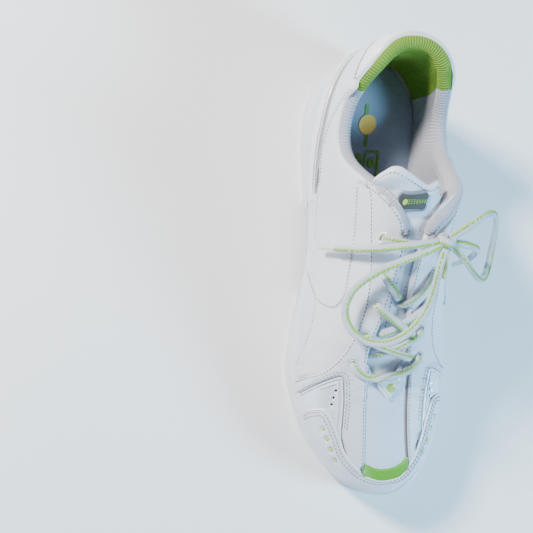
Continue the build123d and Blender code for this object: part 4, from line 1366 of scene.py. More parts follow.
def make_heel():
    """Quarters, heel overlay, silver band and the padded tab, laid round the back of the shoe."""
    for side in SIDES:
        # the leaf: on the upper's own patch, from the heel seam to its tip
        tip = SEAMS[side]["leaf"]
        top = collar_edge(side, 91, 24.5)
        heel_end = smooth_line(upper.side(side, [(28, 70), (30, 56)]), 2.0)
        low = smooth_line(silver_top(side, 30, 124, 1.2))
        outline = np.concatenate([smooth_line(top)[:-1], heel_end, low[1:], trimmed(tip, 0.0, 0.985)[::-1]])

        def cushion(flat, distance):
            return 0.12 * np.sin(0.21 * flat[:, 0]) * np.sin(0.27 * flat[:, 1])

        leaf = panel(f"quarter_{side}_leather", upper, outline, 1.0, M["leather"], slot="white_leather",
                     puff=0.5, puff_width=12, shape=cushion)
        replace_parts(leaf, f"quarter_{side}")
        green.row(upper, inward(outline, smooth_line(silver_top(side, 62, 120, 1.2)), 1.7), 1.12, 2.6, 1.6)
        rows = grey_shade_rows if side == "medial" else pale
        rows.row(upper, inward(outline, trimmed(tip, 0.02, 0.97), 1.7), 1.15, 2.3, 1.5)
        if side == "lateral":
            edge = trimmed(tip, 0.50, 0.97)
            tube_on("leaf_piping", upper, edge, 0.55, M["piping"], 1.05)

    # round the back of the heel
    seam = {side: heel_line(side, *HEEL_SEAM) for side in SIDES}
    tab_end = {side: heel.side(side, [(34, 86)])[0][0] for side in SIDES}
    lateral, medial = smooth_line(seam["lateral"]), smooth_line(seam["medial"])
    top = heel_profile(TAB_SEAM, tab_end["lateral"], tab_end["medial"], 3.0)
    low = heel_profile([(-8, 58.6), (16, 57.6), (28, 56.6), (47, 51.6), (67, 42.1), (87, 32.1), (108, 26)],
                       -92, 92)
    clip_l = lateral[(lateral[:, 1] > 33.5) & (lateral[:, 1] < 81)]
    clip_m = medial[(medial[:, 1] > 33.5) & (medial[:, 1] < 81)]
    outline = np.concatenate([smooth_line(top), clip_m, smooth_line(low)[2:-2], clip_l[::-1]])
    overlay = panel("heel_overlay_leather", heel, outline, 1.55, M["leather"], slot="smooth_leather",
                    puff=0.5, puff_width=10)
    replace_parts(overlay, "heel_overlay")
    green.row(heel, inward(outline, smooth_line(low)[3:-3], 1.7), 1.7, 2.6, 1.6)
    for clip in (clip_l, clip_m):
        for distance in (1.6, 3.4):
            grey_shade_rows.row(heel, inward(outline, clip, distance), 1.7, 2.4, 1.5)

    band_low = [(-8, 46), (16, 46.5), (28, 46), (47, 42.5), (67, 34), (87, 26), (108, 21)]
    lower = heel_profile(band_low, -108, 108)
    upper_edge = heel_profile([(h, z + 4.0) for h, z in SILVER_TOP[:8]], 108, -108)
    outline = np.concatenate([smooth_line(upper_edge), smooth_line(lower)])
    band = panel("silver_band_trim", heel, outline, 0.35, M["silver"], slot="silver_trim", puff=0.35,
                 puff_width=5)
    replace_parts(band, "silver_heel_band")

    floor_line = heel_profile([(-8, 30), (16, 34), (28, 36), (60, 26), (90, 16), (120, 15)], -112, 112)
    ceiling = heel_profile([(h, z + 1.5) for h, z in band_low], 112, -112)
    outline = np.concatenate([smooth_line(ceiling), smooth_line(floor_line)])
    panel("heel_cup_leather", heel, outline, 1.1, M["smooth"], slot="smooth_leather", puff=0.4)
    pale.row(heel, inward(outline, smooth_line(ceiling)[4:-4], 1.6), 1.3, 2.4, 1.5)
    high = smooth_line(heel_profile(SILVER_TOP[:8], -100, 100))
    for line, name in ((smooth_line(lower)[4:-4], "low"), (high, "high")):
        tube_on(f"silver_band_piping_{name}", heel, line, 0.55, M["piping"], 1.0)

    tab_top = topline_on_heel(tab_end["lateral"], tab_end["medial"], COLLAR_DROP)
    tab_edge = smooth_line(heel_profile(TAB_SEAM, tab_end["medial"], tab_end["lateral"]))
    outline = np.concatenate([smooth_line(tab_top), tab_edge])
    tab = panel("heel_tab_leather", heel, outline, 1.9, M["smooth"], slot="smooth_leather", puff=1.4,
                puff_width=9)
    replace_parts(tab, "heel_tab")
    for distance in (1.5, 3.6):
        grey_shade_rows.row(heel, inward(outline, trimmed(tab_edge, 0.05, 0.95), distance), 2.1 + 0.22 * distance)


make_toe()
for side in SIDES:
    make_windows(side)
    make_side(side)
    make_eyestay(side)
make_heel()


# ================================================================ collar
GREEN_END = 34.0             # the green heel lining ends here on both sides
ROLL = 4.7                   # radius of the padded collar roll


def opening_path():
    """Round the opening from the lateral front past the heel to the medial front, every half millimetre.

    Gives points, outward normals, heel coordinates, and stations.
    """
    rows = []
    join = 24.0
    for side, order in (("lateral", -1), ("medial", 1)):
        stations = EDGE_STATIONS[EDGE_STATIONS >= join][::2]
        angles = np.interp(stations, EDGE_STATIONS, EDGES[side])
        points = section(stations, angles)
        normals = upper.at(upper.flat(stations, angles))[1]
        rounds = np.array([heel.side(side, [(s, p[2])])[0][0] for s, p in zip(stations, points)])
        table = np.concatenate([points, normals, rounds[:, None] * 0.001], axis=1)
        rows.append(table[::order])
    ends = (rows[0][-1, 6] * 1000, rows[1][0, 6] * 1000)
    inner = topline_on_heel(ends[0] - 2, ends[1] + 2, 0)
    points, normals = heel.at(inner)
    middle = np.concatenate([points, normals, inner[:, :1] * 0.001], axis=1)
    table = np.concatenate([rows[0], middle, rows[1]])
    for _ in range(2):
        table[1:-1] = (table[:-2] + 2 * table[1:-1] + table[2:]) / 4
    line = smooth_line(table, PATH_STEP)
    points, normals, rounds = line[:, :3], line[:, 3:6], line[:, 6] * 1000
    return points, normals, rounds, SOLE_LENGTH / 2 - points[:, 1]


RIDGE_X = 2.5                # the last's middle line over the rear half
PATH_STEP = 0.5              # length between points of the opening's path
ROLL_POINTS = 24             # points round the roll, before the wall begins
WALL_INSET = 10.4            # the padded wall lies this far inside the leather's surface
WALL_SHARES = (0.0, 0.22, 0.5, 0.78, 1.0)


def make_collar():
    """The padded collar: a ribbed mesh roll along the top edge and the lining down to the footbed."""
    points, normals, rounds, stations = opening_path()
    count = len(points)
    way = unit(np.gradient(points, axis=0))
    normals = unit(normals - way * (normals * way).sum(1)[:, None])
    down = np.cross(way, normals)
    taper = np.where(points[:, 0] > RIDGE_X,
                     np.interp(stations, (80, 96, 112, COLLAR_FRONT), (1.0, 1.22, 1.1, 0.5)),
                     np.interp(stations, (92, 112, COLLAR_FRONT), (1.0, 0.66, 0.42)))
    roll = ROLL * taper
    front = np.where(points[:, 0] > RIDGE_X, np.clip((stations - 84) / 14, 0, 1), 0)
    inset = (roll * (1 - 0.22 * front) - 0.6)[:, None]
    centre = points - normals * inset + down * (roll * (0.9 - 0.1 * front))[:, None]
    along = np.arange(count) * PATH_STEP
    ribs = np.abs(np.sin(np.pi * along / RIB)) ** 0.7
    turn = np.radians(np.linspace(-48, 186, ROLL_POINTS))
    rows = []
    for t in turn:
        reach = roll + 0.55 * ribs * taper - 0.3
        rows.append(centre + reach[:, None] * (math.cos(t) * normals - math.sin(t) * down))
    floor = last_at(np.clip(stations, 6, 130))[2] + 3.6
    inner = rows[-1]
    knots = [inner]
    for share in WALL_SHARES[1:]:
        z = inner[:, 2] + (floor - inner[:, 2]) * share
        ceiling = np.interp(stations, (60, 95, 126), (200, 84, 60))
        wall = heel.at(np.stack([rounds, np.minimum(z, ceiling)], -1), -WALL_INSET)[0]
        wall[:, 2] = z
        knots.append(wall)
    knots = np.array(knots).reshape(len(WALL_SHARES), -1)
    for share in np.linspace(0, 1, 26)[1:]:
        place_here = hermite(np.array(WALL_SHARES), knots, np.array([share]))[0].reshape(-1, 3)
        bulge = 0.45 * ribs * (1 - share) ** 0.6 * taper
        rows.append(place_here - normals * bulge[:, None])
    grid = np.array(rows)
    steps = np.linalg.norm(np.diff(grid, axis=0), axis=2).mean(axis=1)
    depth = np.concatenate([[0], np.cumsum(steps)])
    lateral = points[:, 0] > RIDGE_X
    ahead = stations >= GREEN_END
    zones = {"collar_heel_mesh": (~ahead, "green_mesh", ["collar_lining_heel", "collar_foam"]),
             "collar_lateral_mesh": (ahead & lateral, "white_mesh", ["collar_lining_lateral"]),
             "collar_medial_mesh": (ahead & ~lateral, "white_mesh", ["collar_lining_medial"])}
    for name, (zone, cloth, nodes) in zones.items():
        columns = np.nonzero(zone)[0]
        first, last = max(columns[0] - 1, 0), min(columns[-1] + 1, count - 1)
        columns = np.arange(first, last + 1)
        part = grid[:, columns].copy()
        steps_in = np.arange(len(columns))
        gap = np.minimum(steps_in, steps_in[::-1]) * PATH_STEP
        if cloth == "white_mesh":
            gap = (steps_in if columns[0] > 5 else steps_in[::-1]) * PATH_STEP
        pinch = 0.35 * np.exp(-(gap / 0.7) ** 2)
        out = part[:ROLL_POINTS] - centre[columns]
        part[:ROLL_POINTS] -= out / roll[columns][None, :, None] * pinch[None, :, None]
        wide = len(columns)
        faces = []
        for j in range(len(part) - 1):
            for i in range(wide - 1):
                faces.append((j * wide + i, (j + 1) * wide + i, (j + 1) * wide + i + 1, j * wide + i + 1))
        uv = np.stack(np.broadcast_arrays(along[columns][None, :], depth[:, None]), -1).reshape(-1, 2)
        collar = new_object(name, part.reshape(-1, 3), faces, M[cloth], uv=uv * MM)
        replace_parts(collar, *nodes)


make_collar()


# ================================================================ tongue
def merged(name, pieces, material, body, tags=None):
    """One mesh piece from several vertex and face lists, with its shared edges joined."""
    vertices = np.concatenate([v for v, _, _ in pieces])
    faces, marks, start = [], [], 0
    for k, (v, f, _) in enumerate(pieces):
        faces += [tuple(int(i) + start for i in face) for face in f]
        marks += [k if tags is None else tags[k]] * len(f)
        start += len(v)
    uv = np.concatenate([u for _, _, u in pieces]) * MM
    piece = new_object(name, vertices, faces, material, body, uv=uv, tags=marks)
    work = bmesh.new()
    work.from_mesh(piece.data)
    bmesh.ops.remove_doubles(work, verts=work.verts, dist=0.00002)
    work.to_mesh(piece.data)
    work.free()
    return piece


TONGUE_PLAN = [(-26.0, 97), (-27.9, 92.5), (-27.4, 89.8), (-25, 87), (-22.4, 85.4), (-19.2, 86.2),
               (-15.5, 88.8), (-9, 92.6), (-3.5, 95.9), (1.5, 98.2), (5, 98), (8.6, 96.6), (12, 97),
               (14.8, 100), (16, 106), (16.6, 114), (17.4, 124), (18, 140), (19.5, 170), (21, 200),
               (18, 222), (-26, 222), (-29, 200), (-25, 170), (-21.5, 140), (-20.8, 124), (-21.5, 112),
               (-23.5, 103)]
TONGUE_DEPTH = 4.3           # the tongue's face lies this far under the leather's outer surface
TONGUE_BACK, TONGUE_RIM = -8.6, -6.4


def make_tongue():
    """The padded tongue, bending at its free top, with its woven label."""
    outline = smooth_line(upper.plan(TONGUE_PLAN), 1.6, closed=True)

    def lean(flat, distance):
        """The free top stands up at its medial corner and curls down at its lateral one."""
        station = np.interp(flat[:, 0], upper.lengths, upper.rows)
        raised = 4.2 * np.clip((flat[:, 1] - 12) / 14, 0, 1) * np.clip((99 - station) / 8, 0, 1)
        curled = 3.6 * np.clip((-flat[:, 1] - 2) / 10, 0, 1) ** 2 * np.clip((112 - station) / 14, 0, 1)
        return raised - curled

    def quilt(flat, distance):
        """Soft padding with a sunk seam below the free top, and fuller towards the top edge."""
        station = np.interp(flat[:, 0], upper.lengths, upper.rows)
        seam = -1.0 * np.exp(-((station - 117) / 1.3) ** 2)
        top = 1.1 * np.exp(-((station - 92) / 5.5) ** 2)
        folds = 0.25 * np.sin(0.5 * flat[:, 0] + 0.18 * flat[:, 1])
        return seam + top + lean(flat, distance) + folds * np.clip((station - 120) / 20, 0, 1)

    face = panel_mesh(upper, outline, -TONGUE_DEPTH, edge=2.8, sunk=TONGUE_RIM, puff=0.4, grid=1.8,
                      shape=quilt)
    back = panel_mesh(upper, outline, TONGUE_BACK, edge=2.4, sunk=TONGUE_RIM, grid=2.6, shape=lean)
    back = (back[0], back[1][:, ::-1], back[2])
    tongue = merged("tongue_pad", [face, back], [M["tongue"], M["tongue_back"]], None, tags=[0, 1])
    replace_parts(tongue, "tongue_base", "tongue_flap")
    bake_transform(tongue)
    centre = upper.plan([(-8.6, 106.5)])[0]

    def plate(width, height, corner):
        """The label's rounded outline, its width across the shoe."""
        turn = np.linspace(0, np.pi / 2, 8)
        out = []
        for quarter, (sx, sy) in enumerate(((1, 1), (-1, 1), (-1, -1), (1, -1))):
            t = turn + quarter * np.pi / 2
            out.append(np.stack([sx * (width / 2 - corner) + corner * np.cos(t),
                                 sy * (height / 2 - corner) + corner * np.sin(t)], -1))
        shape = np.concatenate(out)
        return centre + shape[:, ::-1] * (1, -1)

    face_lift = -TONGUE_DEPTH + 0.75
    rim = panel("label_rim", upper, plate(22.6, 12.4, 3.6), face_lift + 1.0, M["label_rim"], body=FLAP,
                slot="label_grey", edge=0.35, sunk=face_lift + 0.1, grid=1.2)
    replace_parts(rim, "tongue_label")
    panel("label_field", upper, plate(20.2, 10.0, 2.8), face_lift + 1.3, M["label"], body=FLAP,
          slot="label_grey", edge=0.3, sunk=face_lift + 0.8, grid=1.2)
    panel("label_dot", upper, circle(centre + (0, 5.0), 1.7, 20), face_lift + 1.6, M["plug"], body=FLAP,
          slot="green_trim", edge=0.3, sunk=face_lift + 1.1, grid=0.9)
    leaf = Stitching()
    for offset in (-1.1, 0.0, 1.1):
        stroke = np.array([centre + (offset, 2.6), centre + (offset * 0.6, -8.2)])
        leaf.row(upper, smooth_line(stroke, 0.6), face_lift + 1.4, 1.7, 1.2, 0.45)
    leaf.finish("label_weave_lines", M["green_thread"], body=FLAP, slot="green_trim")
    seam = Stitching()
    limit = np.where(outline[:, 1] > 0, upper.plan([(0, 90)])[0][0], upper.plan([(0, 104)])[0][0])
    hem = inward(outline, outline[outline[:, 0] < limit], 3.0)
    seam.row(upper, hem, -TONGUE_DEPTH + 1.0 + lean(hem, None), 2.5, 1.5)
    seam.finish("tongue_top_stitches", M["thread"], body=FLAP, slot="silver_thread")
    for x0, x1 in ((-6.5, -6.5), (1.0, -0.5)):
        pale.row(upper, smooth_line(upper.plan([(x0, 124), (x0 - 1, 150), (x1 - 4, 178), (x1 - 5, 200)])),
                 -TONGUE_DEPTH + 0.35, 2.7, 1.7)


make_tongue()


# ================================================================ footbed print and sticker
def on_footbed(points, lift):
    """Points of the footbed's top from x, station pairs."""
    points = np.asarray(points, float)
    z = last_at(points[:, 1])[2] + 4.2 + lift
    return np.stack([points[:, 0], y_at(points[:, 1]), z], -1)


def print_shape(name, outline, lift, material, height=0.25, holes=()):
    """A thin flat shape on the footbed, with a side wall."""
    flat, faces = triangulate(outline, np.empty((0, 2)), holes)
    top = on_footbed(flat, lift)
    vertices, shapes = [top], [tuple(f) for f in faces]
    count = len(top)
    for rim in (outline, *holes):
        ring = np.asarray(rim, float)
        upper_ring, lower_ring = on_footbed(ring, lift), on_footbed(ring, lift - height)
        vertices += [upper_ring, lower_ring]
        size = len(ring)
        for k in range(size):
            n = (k + 1) % size
            shapes.append((count + k, count + size + k, count + size + n, count + n))
        count += 2 * size
    return new_object(name, np.concatenate(vertices), shapes, material, SHOE, smooth=False)


def rounded_box(x0, x1, s0, s1, corner):
    """A box outline in x and station with rounded corners."""
    turn = np.linspace(0, np.pi / 2, 6)
    out = []
    for quarter, (cx, cs) in enumerate(((x1 - corner, s1 - corner), (x0 + corner, s1 - corner),
                                        (x0 + corner, s0 + corner), (x1 - corner, s0 + corner))):
        t = turn + quarter * np.pi / 2
        out.append(np.stack([cx + corner * np.cos(t), cs + corner * np.sin(t)], -1))
    return np.concatenate(out)


STICKER = (-3.5, 50.3)


def make_footbed_marks():
    """A plain round sticker between two printed bars, and a framed disc and a second disc ahead of them."""
    disc = circle(np.array(STICKER), 6.0, 40)
    sticker = print_shape("round_sticker", disc, 0.6, M["sticker"], 0.8)
    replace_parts(sticker, "size_sticker")
    for name, outline, holes in (
            ("print_bar_rear", rounded_box(-6.0, -3.5, 38.0, 45.2, 0.6), ()),
            ("print_bar_front", rounded_box(-4.4, -1.9, 55.4, 64.0, 0.6), ()),
            ("print_frame", rounded_box(-2.8, 8.0, 66.2, 88.0, 2.2),
             [rounded_box(-1.2, 6.4, 67.8, 86.4, 1.2)]),
            ("print_disc", circle(np.array((3.0, 74.0)), 3.3, 30),
             [rounded_box(2.6, 3.4, 72.2, 75.8, 0.35)]),
            ("print_second_disc", circle(np.array((-7.6, 71.8)), 3.6, 30),
             [rounded_box(-9.6, -5.6, 71.4, 72.2, 0.35)])):
        print_shape(name, outline, 0.42, M["mark"], 0.5, holes)


make_footbed_marks()


# ================================================================ sole unit
SOLE_PLAN = np.array([
    (3, 0), (-19, 15), (-32, 40), (-35, 76), (-35.5, 120), (-43, 160), (-52, 194), (-52.5, 216),
    (-46, 244), (-33, 267), (-17, 284), (3.5, 292), (24, 285.5), (40, 267), (49, 240), (53, 208),
    (50, 170), (44, 134), (41, 96), (41, 56), (37, 28), (22, 7.5),
], float)
SOLE_WALL = np.array([(0, 3.0), (12, 0.0), (30, 2.0), (52, 6.5)], float)
UNDERSIDE = [(-6, 19), (3, 11.5), (12, 6), (24, 3), (94, 3), (101, 9.5), (108, 12.9), (142, 12.9),
             (152.5, 8.4), (159, 3), (228, 3), (250, 4.2), (272, 7.4), (296, 13.5)]
SOLE_ROWS = 44
HEEL_BLOCK_TOP = [(-8, 27), (4, 25.5), (40, 22.5), (80, 17.5), (112, 13.5)]
FORE_BLOCK_TOP = [(148, 9.5), (160, 11.5), (230, 12), (262, 15), (296, 22)]


HEEL_RIDGES, FORE_RIDGES = (1.8, 4.5), (1.4, 2.5)         # depth, and how many grooves up the block
WELT_GROOVES = ((1.0, 3.6, 0.55), (0.6, 6.4, 0.45))       # depth, distance below the top, half width


def ridged(share, ridges):
    """How far a block's side is cut in, at a share of its height."""
    depth, count = ridges
    return depth * (0.5 - 0.5 * np.cos(2 * np.pi * share * count)) ** 1.6


def make_sole():
    """The white unit: a smooth wedge over ridged heel and forefoot blocks, open at the waist."""
    plan = np.stack([SOLE_PLAN[:, 0], y_at(SOLE_PLAN[:, 1])], -1)
    rim = smooth_line(plan, 1.6, closed=True)
    for _ in range(2):
        rim = (np.roll(rim, 1, 0) + 2 * rim + np.roll(rim, -1, 0)) / 4
    way = unit(np.roll(rim, -1, 0) - np.roll(rim, 1, 0))
    inward_way = np.stack([-way[:, 1], way[:, 0]], -1)
    if ((rim + inward_way * 5 - rim.mean(0)) ** 2).sum() > ((rim - rim.mean(0)) ** 2).sum():
        inward_way = -inward_way
    stations = SOLE_LENGTH / 2 - rim[:, 1]
    low = np.interp(stations, *np.array(UNDERSIDE, float).T)
    high = last_at(np.clip(stations, 2.1, 287))[2] + 1.4
    high = np.where(stations > 262, high + (stations - 262) * 0.02, high)
    rows = []
    heel_top = np.interp(stations, *np.array(HEEL_BLOCK_TOP, float).T)
    fore_top = np.interp(stations, *np.array(FORE_BLOCK_TOP, float).T)
    for share in np.linspace(0, 1, SOLE_ROWS):
        z = low + (high - low) * share
        inset = hermite(SOLE_WALL[:, 0], SOLE_WALL[:, 1], z)
        heel_t = (z - low) / np.maximum(heel_top - low, 0.5)
        fore_t = (z - low) / np.maximum(fore_top - low, 0.5)
        heel_zone = np.clip((112 - stations) / 8, 0, 1) * np.clip((1.06 - heel_t) / 0.06, 0, 1)
        fore_zone = np.clip((stations - 148) / 8, 0, 1) * np.clip((1.06 - fore_t) / 0.06, 0, 1)
        inset = inset + ridged(heel_t, HEEL_RIDGES) * heel_zone + ridged(fore_t, FORE_RIDGES) * fore_zone
        welt = high - z
        inset += sum(depth * np.exp(-((welt - below) / half) ** 2) for depth, below, half in WELT_GROOVES)
        inset += 0.9 * np.clip(1 - welt / 1.2, 0, 1) ** 2 + 0.5 * np.clip(1 - (z - low) / 0.8, 0, 1) ** 2
        rows.append(np.concatenate([rim + inward_way * inset[:, None], z[:, None]], axis=1))
    for reach, drop in ((1.5, 0.0), (3.6, 0.6), (6.2, 1.6)):
        lip = rows[SOLE_ROWS - 1]
        rows.append(np.concatenate([lip[:, :2] + inward_way * reach, (lip[:, 2] - drop)[:, None]], axis=1))
    grid = np.array(rows)
    around = len(rim)
    faces = ring_faces(len(grid), around)
    bottom = grid[0, :, :2]
    across, along = np.meshgrid(np.arange(-52, 54, 3.0), np.arange(-146, 147, 2.0), indexing="ij")
    spots = np.stack([across, along], -1).reshape(-1, 2)
    spots = spots[inside(bottom, spots)]
    spots = spots[distance_to(bottom, spots) > 1.4]
    flat, triangles = triangulate(bottom, spots)
    z = np.interp(SOLE_LENGTH / 2 - flat[:, 1], *np.array(UNDERSIDE, float).T)
    under = np.concatenate([flat, z[:, None]], axis=1)
    sides = (grid.reshape(-1, 3), faces, np.zeros((len(grid) * around, 2)))
    base = (under, triangles[:, ::-1], np.zeros((len(under), 2)))
    sole = merged("sole_unit", [sides, base], [M["sole"]], SHOE, tags=[0, 0])
    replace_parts(sole, "midsole", "heel_block", "forefoot_block")


make_sole()


# ================================================================ laced stretches, knot and eyelets
CROSSINGS = {
    # x, station and height above the leather, from the eyelet to where the lace goes under
    "lace_medial_2": [(-18.6, 145.8, -2.0), (-18.2, 146.6, 1.6), (-15.6, 150.2, 3.1), (-11.5, 156, 2.4),
                      (-8.0, 160.6, 0.4), (-5.5, 164, -3.2)],
    "lace_medial_3": [(-19.9, 164.2, -2.0), (-19.3, 165, 1.7), (-16.5, 167.6, 3.2), (-10.5, 172.2, 4.2),
                      (-4.5, 176.6, 5.2), (1.0, 180.4, 5.0), (5.5, 183.4, 3.0), (8.6, 185.2, -2.0)],
    "lace_medial_4": [(-23.6, 183, -2.0), (-23.2, 184, 1.7), (-20.0, 187, 3.1), (-12.5, 190.8, 4.0),
                      (-4, 194.2, 5.2), (2, 196.5, 4.6), (6.4, 198.4, 2.6), (9.0, 199.6, -2.0)],
    "lace_lateral_4": [(13.2, 181.5, -2.0), (12.5, 182.3, 1.7), (9.5, 185, 3.0), (3.5, 189, 2.6),
                       (-4.0, 192.8, 1.4), (-11.5, 195.3, 1.2), (-16.0, 197, -0.4), (-19, 198.6, -3.0)],
    "lace_lateral_3": [(13.2, 164.5, -2.0), (12.4, 165.3, 1.7), (9.5, 168.4, 3.0), (4.5, 172.8, 2.4),
                       (-2.5, 177.8, 1.2), (-8.5, 181, 0.6), (-13, 183.4, -0.8), (-16, 185, -3.2)],
    "lace_lateral_2": [(14.5, 146, -2.0), (13.8, 147, 1.7), (11.5, 151, 3.0), (7.5, 157, 3.0),
                       (3.0, 162, 2.0), (-1.0, 165.5, 0.2), (-4.0, 168, -3.2)],
    "lace_medial_1": [(-20.6, 125, -2.0), (-19.9, 125.5, 1.8), (-16.5, 126.6, 3.0), (-9, 128, 3.0),
                      (-1, 128.8, 3.2), (6.5, 129, 3.6), (12, 129.2, 5.6)],
    "lace_lateral_1": [(16.5, 126, -2.0), (17.1, 126.6, 2.0), (17.4, 127.8, 3.6), (16.0, 129.2, 5.0)],
    "lace_bottom": [(-28.8, 200.5, -2.0), (-28.4, 201.6, 1.7), (-26.4, 204.6, 2.8), (-22.5, 207.8, 2.9),
                    (-17.5, 209.6, 3.1), (-12.5, 209.9, 3.4), (-7.6, 208.6, 3.6), (-1.5, 208.2, 3.8),
                    (4, 206.6, 4.0), (9.5, 203.2, 4.0), (13.4, 199.8, 2.4), (14.6, 198.5, -2.0)],
}


def lifted(points):
    """Points of the last raised by their own heights."""
    points = np.array(points, float)
    return upper.at(upper.plan(points[:, :2]), points[:, 2])


def make_crossings():
    """The lace through the eyelets, flat on the leather, and turned over once at the bottom."""
    threads = LaceStitches()
    pieces = []
    for name, points in CROSSINGS.items():
        places, normals = lifted(points)
        path = smooth_line(places, 0.8)
        share = run_along(path)
        marks = run_along(places)
        marks *= share[-1] / marks[-1]
        up = np.stack([np.interp(share, marks, normals[:, k]) for k in range(3)], -1)
        way = unit(np.gradient(path, axis=0))
        up = unit(up - way * (up * way).sum(1)[:, None])
        across = np.cross(up, way)
        turn = np.zeros(len(path))
        if name == "lace_bottom":
            turn = np.pi / (1 + np.exp(-(share / share[-1] - 0.40) * 26))
        turn += 0.22 * np.sin(share / 7 + len(pieces))
        up = up * np.cos(turn)[:, None] + across * np.sin(turn)[:, None]
        vertices, faces, flat = braided(path, up, ends=(0.72, 0.72))
        lace = new_object(name, vertices, faces, M["lace"], uv=flat)
        pieces.append(lace)
        inner = slice(3, -3)
        threads.along(path[inner], up[inner], side=1.0 if len(pieces) % 2 else -1.0)
        if name == "lace_bottom":
            threads.along(path[inner], -up[inner], side=1.0)
    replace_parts(pieces[0], "lace_crossings")
    threads.finish("laced_stretch_stitches", M["green_thread"], slot="lace")


def make_knot():
    """The bow's knot: a band wrapped over the crossing laces, on a smaller half hitch."""
    centre = np.array((KNOT[0], y_at(KNOT[1]), KNOT[2]))
    axis = unit(np.array((0.32, 1.0, 0.12)))
    side = unit(np.cross(axis, (0, 0, 1.0)))
    up = np.cross(side, axis)
    turn = np.linspace(-0.4, 2 * np.pi + 0.5, 70)
    drift = np.linspace(-1.6, 1.6, 70)
    path = centre + 4.6 * np.cos(turn)[:, None] * side + 3.5 * np.sin(turn)[:, None] * up
    path = path + drift[:, None] * axis
    out = unit(path - centre - drift[:, None] * axis)
    vertices, faces, flat = braided(path, out, 5.4, 2.6)
    band = new_object("bow_band", vertices, faces, M["lace"], uv=flat)
    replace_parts(band, "lace_knot")
    threads = LaceStitches()
    threads.along(path[4:-4], out[4:-4], side=1.3)
    threads.finish("bow_band_stitches", M["green_thread"], slot="lace")
    turn = np.linspace(0.3, 2 * np.pi - 0.1, 60)
    tilt = 0.5 * side + 0.86 * axis
    low = centre - up * 2.6 + 3.6 * np.cos(turn)[:, None] * tilt
    low = low + 3.0 * np.sin(turn)[:, None] * (0.86 * side - 0.5 * axis)
    low = low + np.sin(turn * 2)[:, None] * up * 0.9
    vertices, faces, flat = braided(low, np.tile(up, (60, 1)), 4.6, 3.0)
    new_object("bow_hitch", vertices, faces, M["lace"], uv=flat)


def make_eyelets():
    """Two shiny rings at the top, and turned-in leather lips round the other holes."""
    rings, ring_faces = [], []
    for side in SIDES:
        centres = place(side, *EYELETS[side])
        for k, centre in enumerate(centres):
            radius, thick, lift = (2.75, 0.95, 1.45) if k == 0 else (2.0, 0.42, 1.12)
            points, normals = upper.at(circle(centre, radius, 28), lift)
            loop = np.concatenate([points, points[:1]])
            lean = np.concatenate([normals, normals[:1]])
            vertices, faces, _ = tube_mesh(loop, lean, thick, thick * 0.8, 10)
            faces = faces[:-2]
            if k == 0:
                ring_faces += [tuple(i + sum(len(r) for r in rings) for i in f) for f in faces]
                rings.append(vertices)
            else:
                new_object(f"eyelet_lip_{side}_{k + 1}", vertices, faces, M["wing"])
    top = new_object("eyelet_rings", np.concatenate(rings), ring_faces, M["ring"])
    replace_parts(top, "top_eyelet_rings")


make_crossings()
make_knot()
make_eyelets()


# ================================================================ small trim
BUTTON = [(-3.9, 217.0)]


def make_heart():
    """The small heart-shaped tab below the lacing with a round green button."""
    heart = [(-5.3, 211.2), (-8.5, 210.6), (-11.8, 211), (-13.4, 213.2), (-12.2, 216.4), (-9, 220),
             (-6.6, 223), (-4.9, 224.2), (-3.2, 222.6), (-0.6, 219), (1.8, 215.2), (2.4, 212.4), (0.6, 210.6),
             (-2.4, 210.6)]
    outline = smooth_line(upper.plan(heart), 0.8, closed=True)
    tab = panel("heart_tab", upper, outline, 2.1, M["smooth"], slot="smooth_leather", edge=0.7, sunk=-0.4,
                grid=1.2)
    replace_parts(tab, "throat_tab")
    inner = np.concatenate([outline, outline[:2]])
    tube_on("heart_tab_edge", upper, inward(outline, inner, 0.35), 0.42, M["smooth"], 1.9)
    stitches = Stitching()
    stitches.row(upper, inward(outline, inner, 1.35), 2.12, 1.7, 1.1, 0.4)
    stitches.finish("heart_tab_stitches", M["pale_thread_painted_blue_shade"], slot="silver_thread")
    vertices, faces = [], []
    point, normal = upper.at(upper.plan(BUTTON), 2.2)
    add_dome(vertices, faces, point[0], normal[0], 2.9, 0.9, 6, 28)
    button = new_object("heart_button", np.concatenate(vertices), faces, M["plug"])
    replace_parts(button, "throat_button")
    turn = np.linspace(0.5, 5.2, 24)
    centre = upper.plan(BUTTON)[0]
    ripple = centre + 1.5 * np.stack([np.cos(turn), np.sin(turn)], -1)
    tube_on("heart_button_ripple", upper, ripple, 0.28, M["green_thread"], 3.05)


def make_tag():
    """The plain gold tag on the lateral side."""
    outline = smooth_line(upper.side("lateral", [(133.8, 84), (151.2, 79.4)]), 1.0)
    low = smooth_line(upper.side("lateral", [(151.2, 73.2), (133.8, 77.4)]), 1.0)
    tag = panel("gold_tag_plate", upper, np.concatenate([outline, low]), 2.0, M["tag"], slot="gold_tag",
                edge=0.5, sunk=0.4, grid=1.2)
    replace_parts(tag, "side_tag")
    ridge = smooth_line(upper.side("lateral", [(136, 80.6), (149, 77.3)]), 1.0)
    tube_on("gold_tag_ridge", upper, ridge, 0.5, M["tag"], 2.0)
    edge = np.concatenate([outline, low, outline[:2]])
    tube_on("gold_tag_border", upper, inward(np.concatenate([outline, low]), edge, 0.7), 0.3, M["tag"], 2.0)


def spiral_points(station, z, turns, first, last, start):
    """Station, height points of a spiral whose radius goes from first to last."""
    turn = np.linspace(0, 2 * np.pi * turns, int(40 * turns))
    radius = first + (last - first) * turn / turn[-1]
    return [(station + r * math.cos(t + start), z + r * math.sin(t + start)) for t, r in zip(turn, radius)]


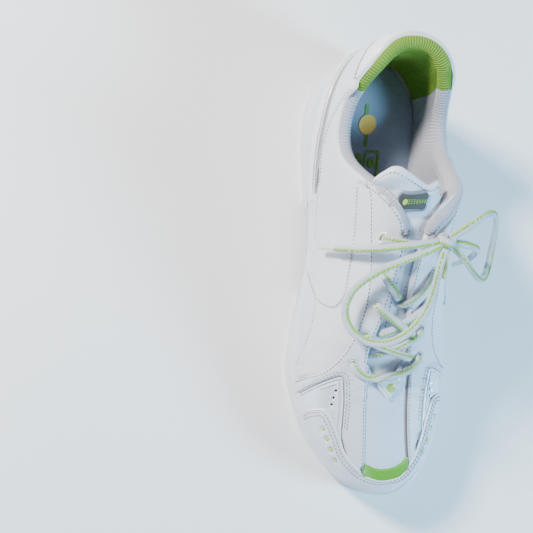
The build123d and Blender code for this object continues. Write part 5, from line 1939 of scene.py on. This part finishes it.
SWIRLS = {
    "swirl_big": spiral_points(89, 60, 3.4, 2.6, 17.0, 0.4),
    "swirl_tail": [(74, 66), (70, 57), (73, 46), (84, 40.5), (97, 38.5), (106, 41), (111, 48),
                   (114, 57), (119, 64), (127, 66.5), (134, 62.5), (137, 55), (134.5, 47), (128, 43.5),
                   (121.5, 46), (117.5, 53), (118.5, 61), (124, 67.5), (133, 69.5), (141, 66),
                   (147.5, 58.5), (150.5, 50), (149, 42), (144.5, 38.5), (141, 41.5), (142.5, 47.5),
                   (148.5, 51.5), (156, 53), (165, 54)],
    "swirl_lower": [(104, 54), (106.5, 46), (112, 37), (120, 30), (129, 25)],
}
HEEL_SWIRL = spiral_points(31, 65, 2.3, 1.5, 6.4, 2.2)


def twin_cord(name, patch, line, lift):
    """Two thin twisted threads side by side along a line."""
    for number, offset in enumerate((-0.36, 0.36)):
        points, normals = patch.at(beside(line, offset), lift)
        vertices, faces, flat = tube_mesh(points, normals, 0.38, 0.38, 8)
        turn, run = flat[:, 0] * 2 * np.pi, flat[:, 1]
        middle = np.repeat(points, 8, axis=0)
        vertices = middle + (vertices - middle) * (1 + 0.16 * np.sin(2 * turn + run * 5.2))[:, None]
        thread_piece = new_object(f"{name}_{number + 1}", vertices, faces, M["silver_thread"],
                                  uv=flat * MM)
        if number == 0:
            first = thread_piece
    return first


def make_swirls():
    """Silver embroidery on the lateral side."""
    for name, points in SWIRLS.items():
        line = smooth_line(upper.side("lateral", points), 0.7)
        cord = twin_cord(name, upper, line, 1.75)
        if name == "swirl_big":
            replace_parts(cord, "swirl_embroidery")
    line = smooth_line(heel.side("lateral", HEEL_SWIRL), 0.7)
    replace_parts(twin_cord("heel_spiral", heel, line, 2.35), "heel_swirl")


make_heart()
make_tag()
make_swirls()


# ================================================================ threads and CAD nodes that stay
# painted shade: white thread finished in dark grey and dark blue for its shading and needle-hole shadows
grey_shade_rows.finish("stitching_painted_grey_shade", M["thread"], slot="silver_thread")
pale.finish("pale_stitching_painted_blue_shade", M["pale_thread_painted_blue_shade"], slot="silver_thread")
green.finish("green_stitching", M["green_thread"], slot="green_trim")
STAY = {
    "vamp_lining": "lining", "toe_puff": "counter", "eyestay_lining_medial": "lining",
    "eyestay_lining_lateral": "lining", "heel_counter": "counter", "insole_board": "board",
    "shank_plate": "shank", "heel_outsole": "rubber", "forefoot_outsole": "rubber", "footbed": "footbed",
}
for node, paint in STAY.items():
    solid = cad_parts[node]
    if not solid.material_slots:
        solid.data.materials.append(M[paint])
    for item in solid.material_slots:
        item.material = M[paint]
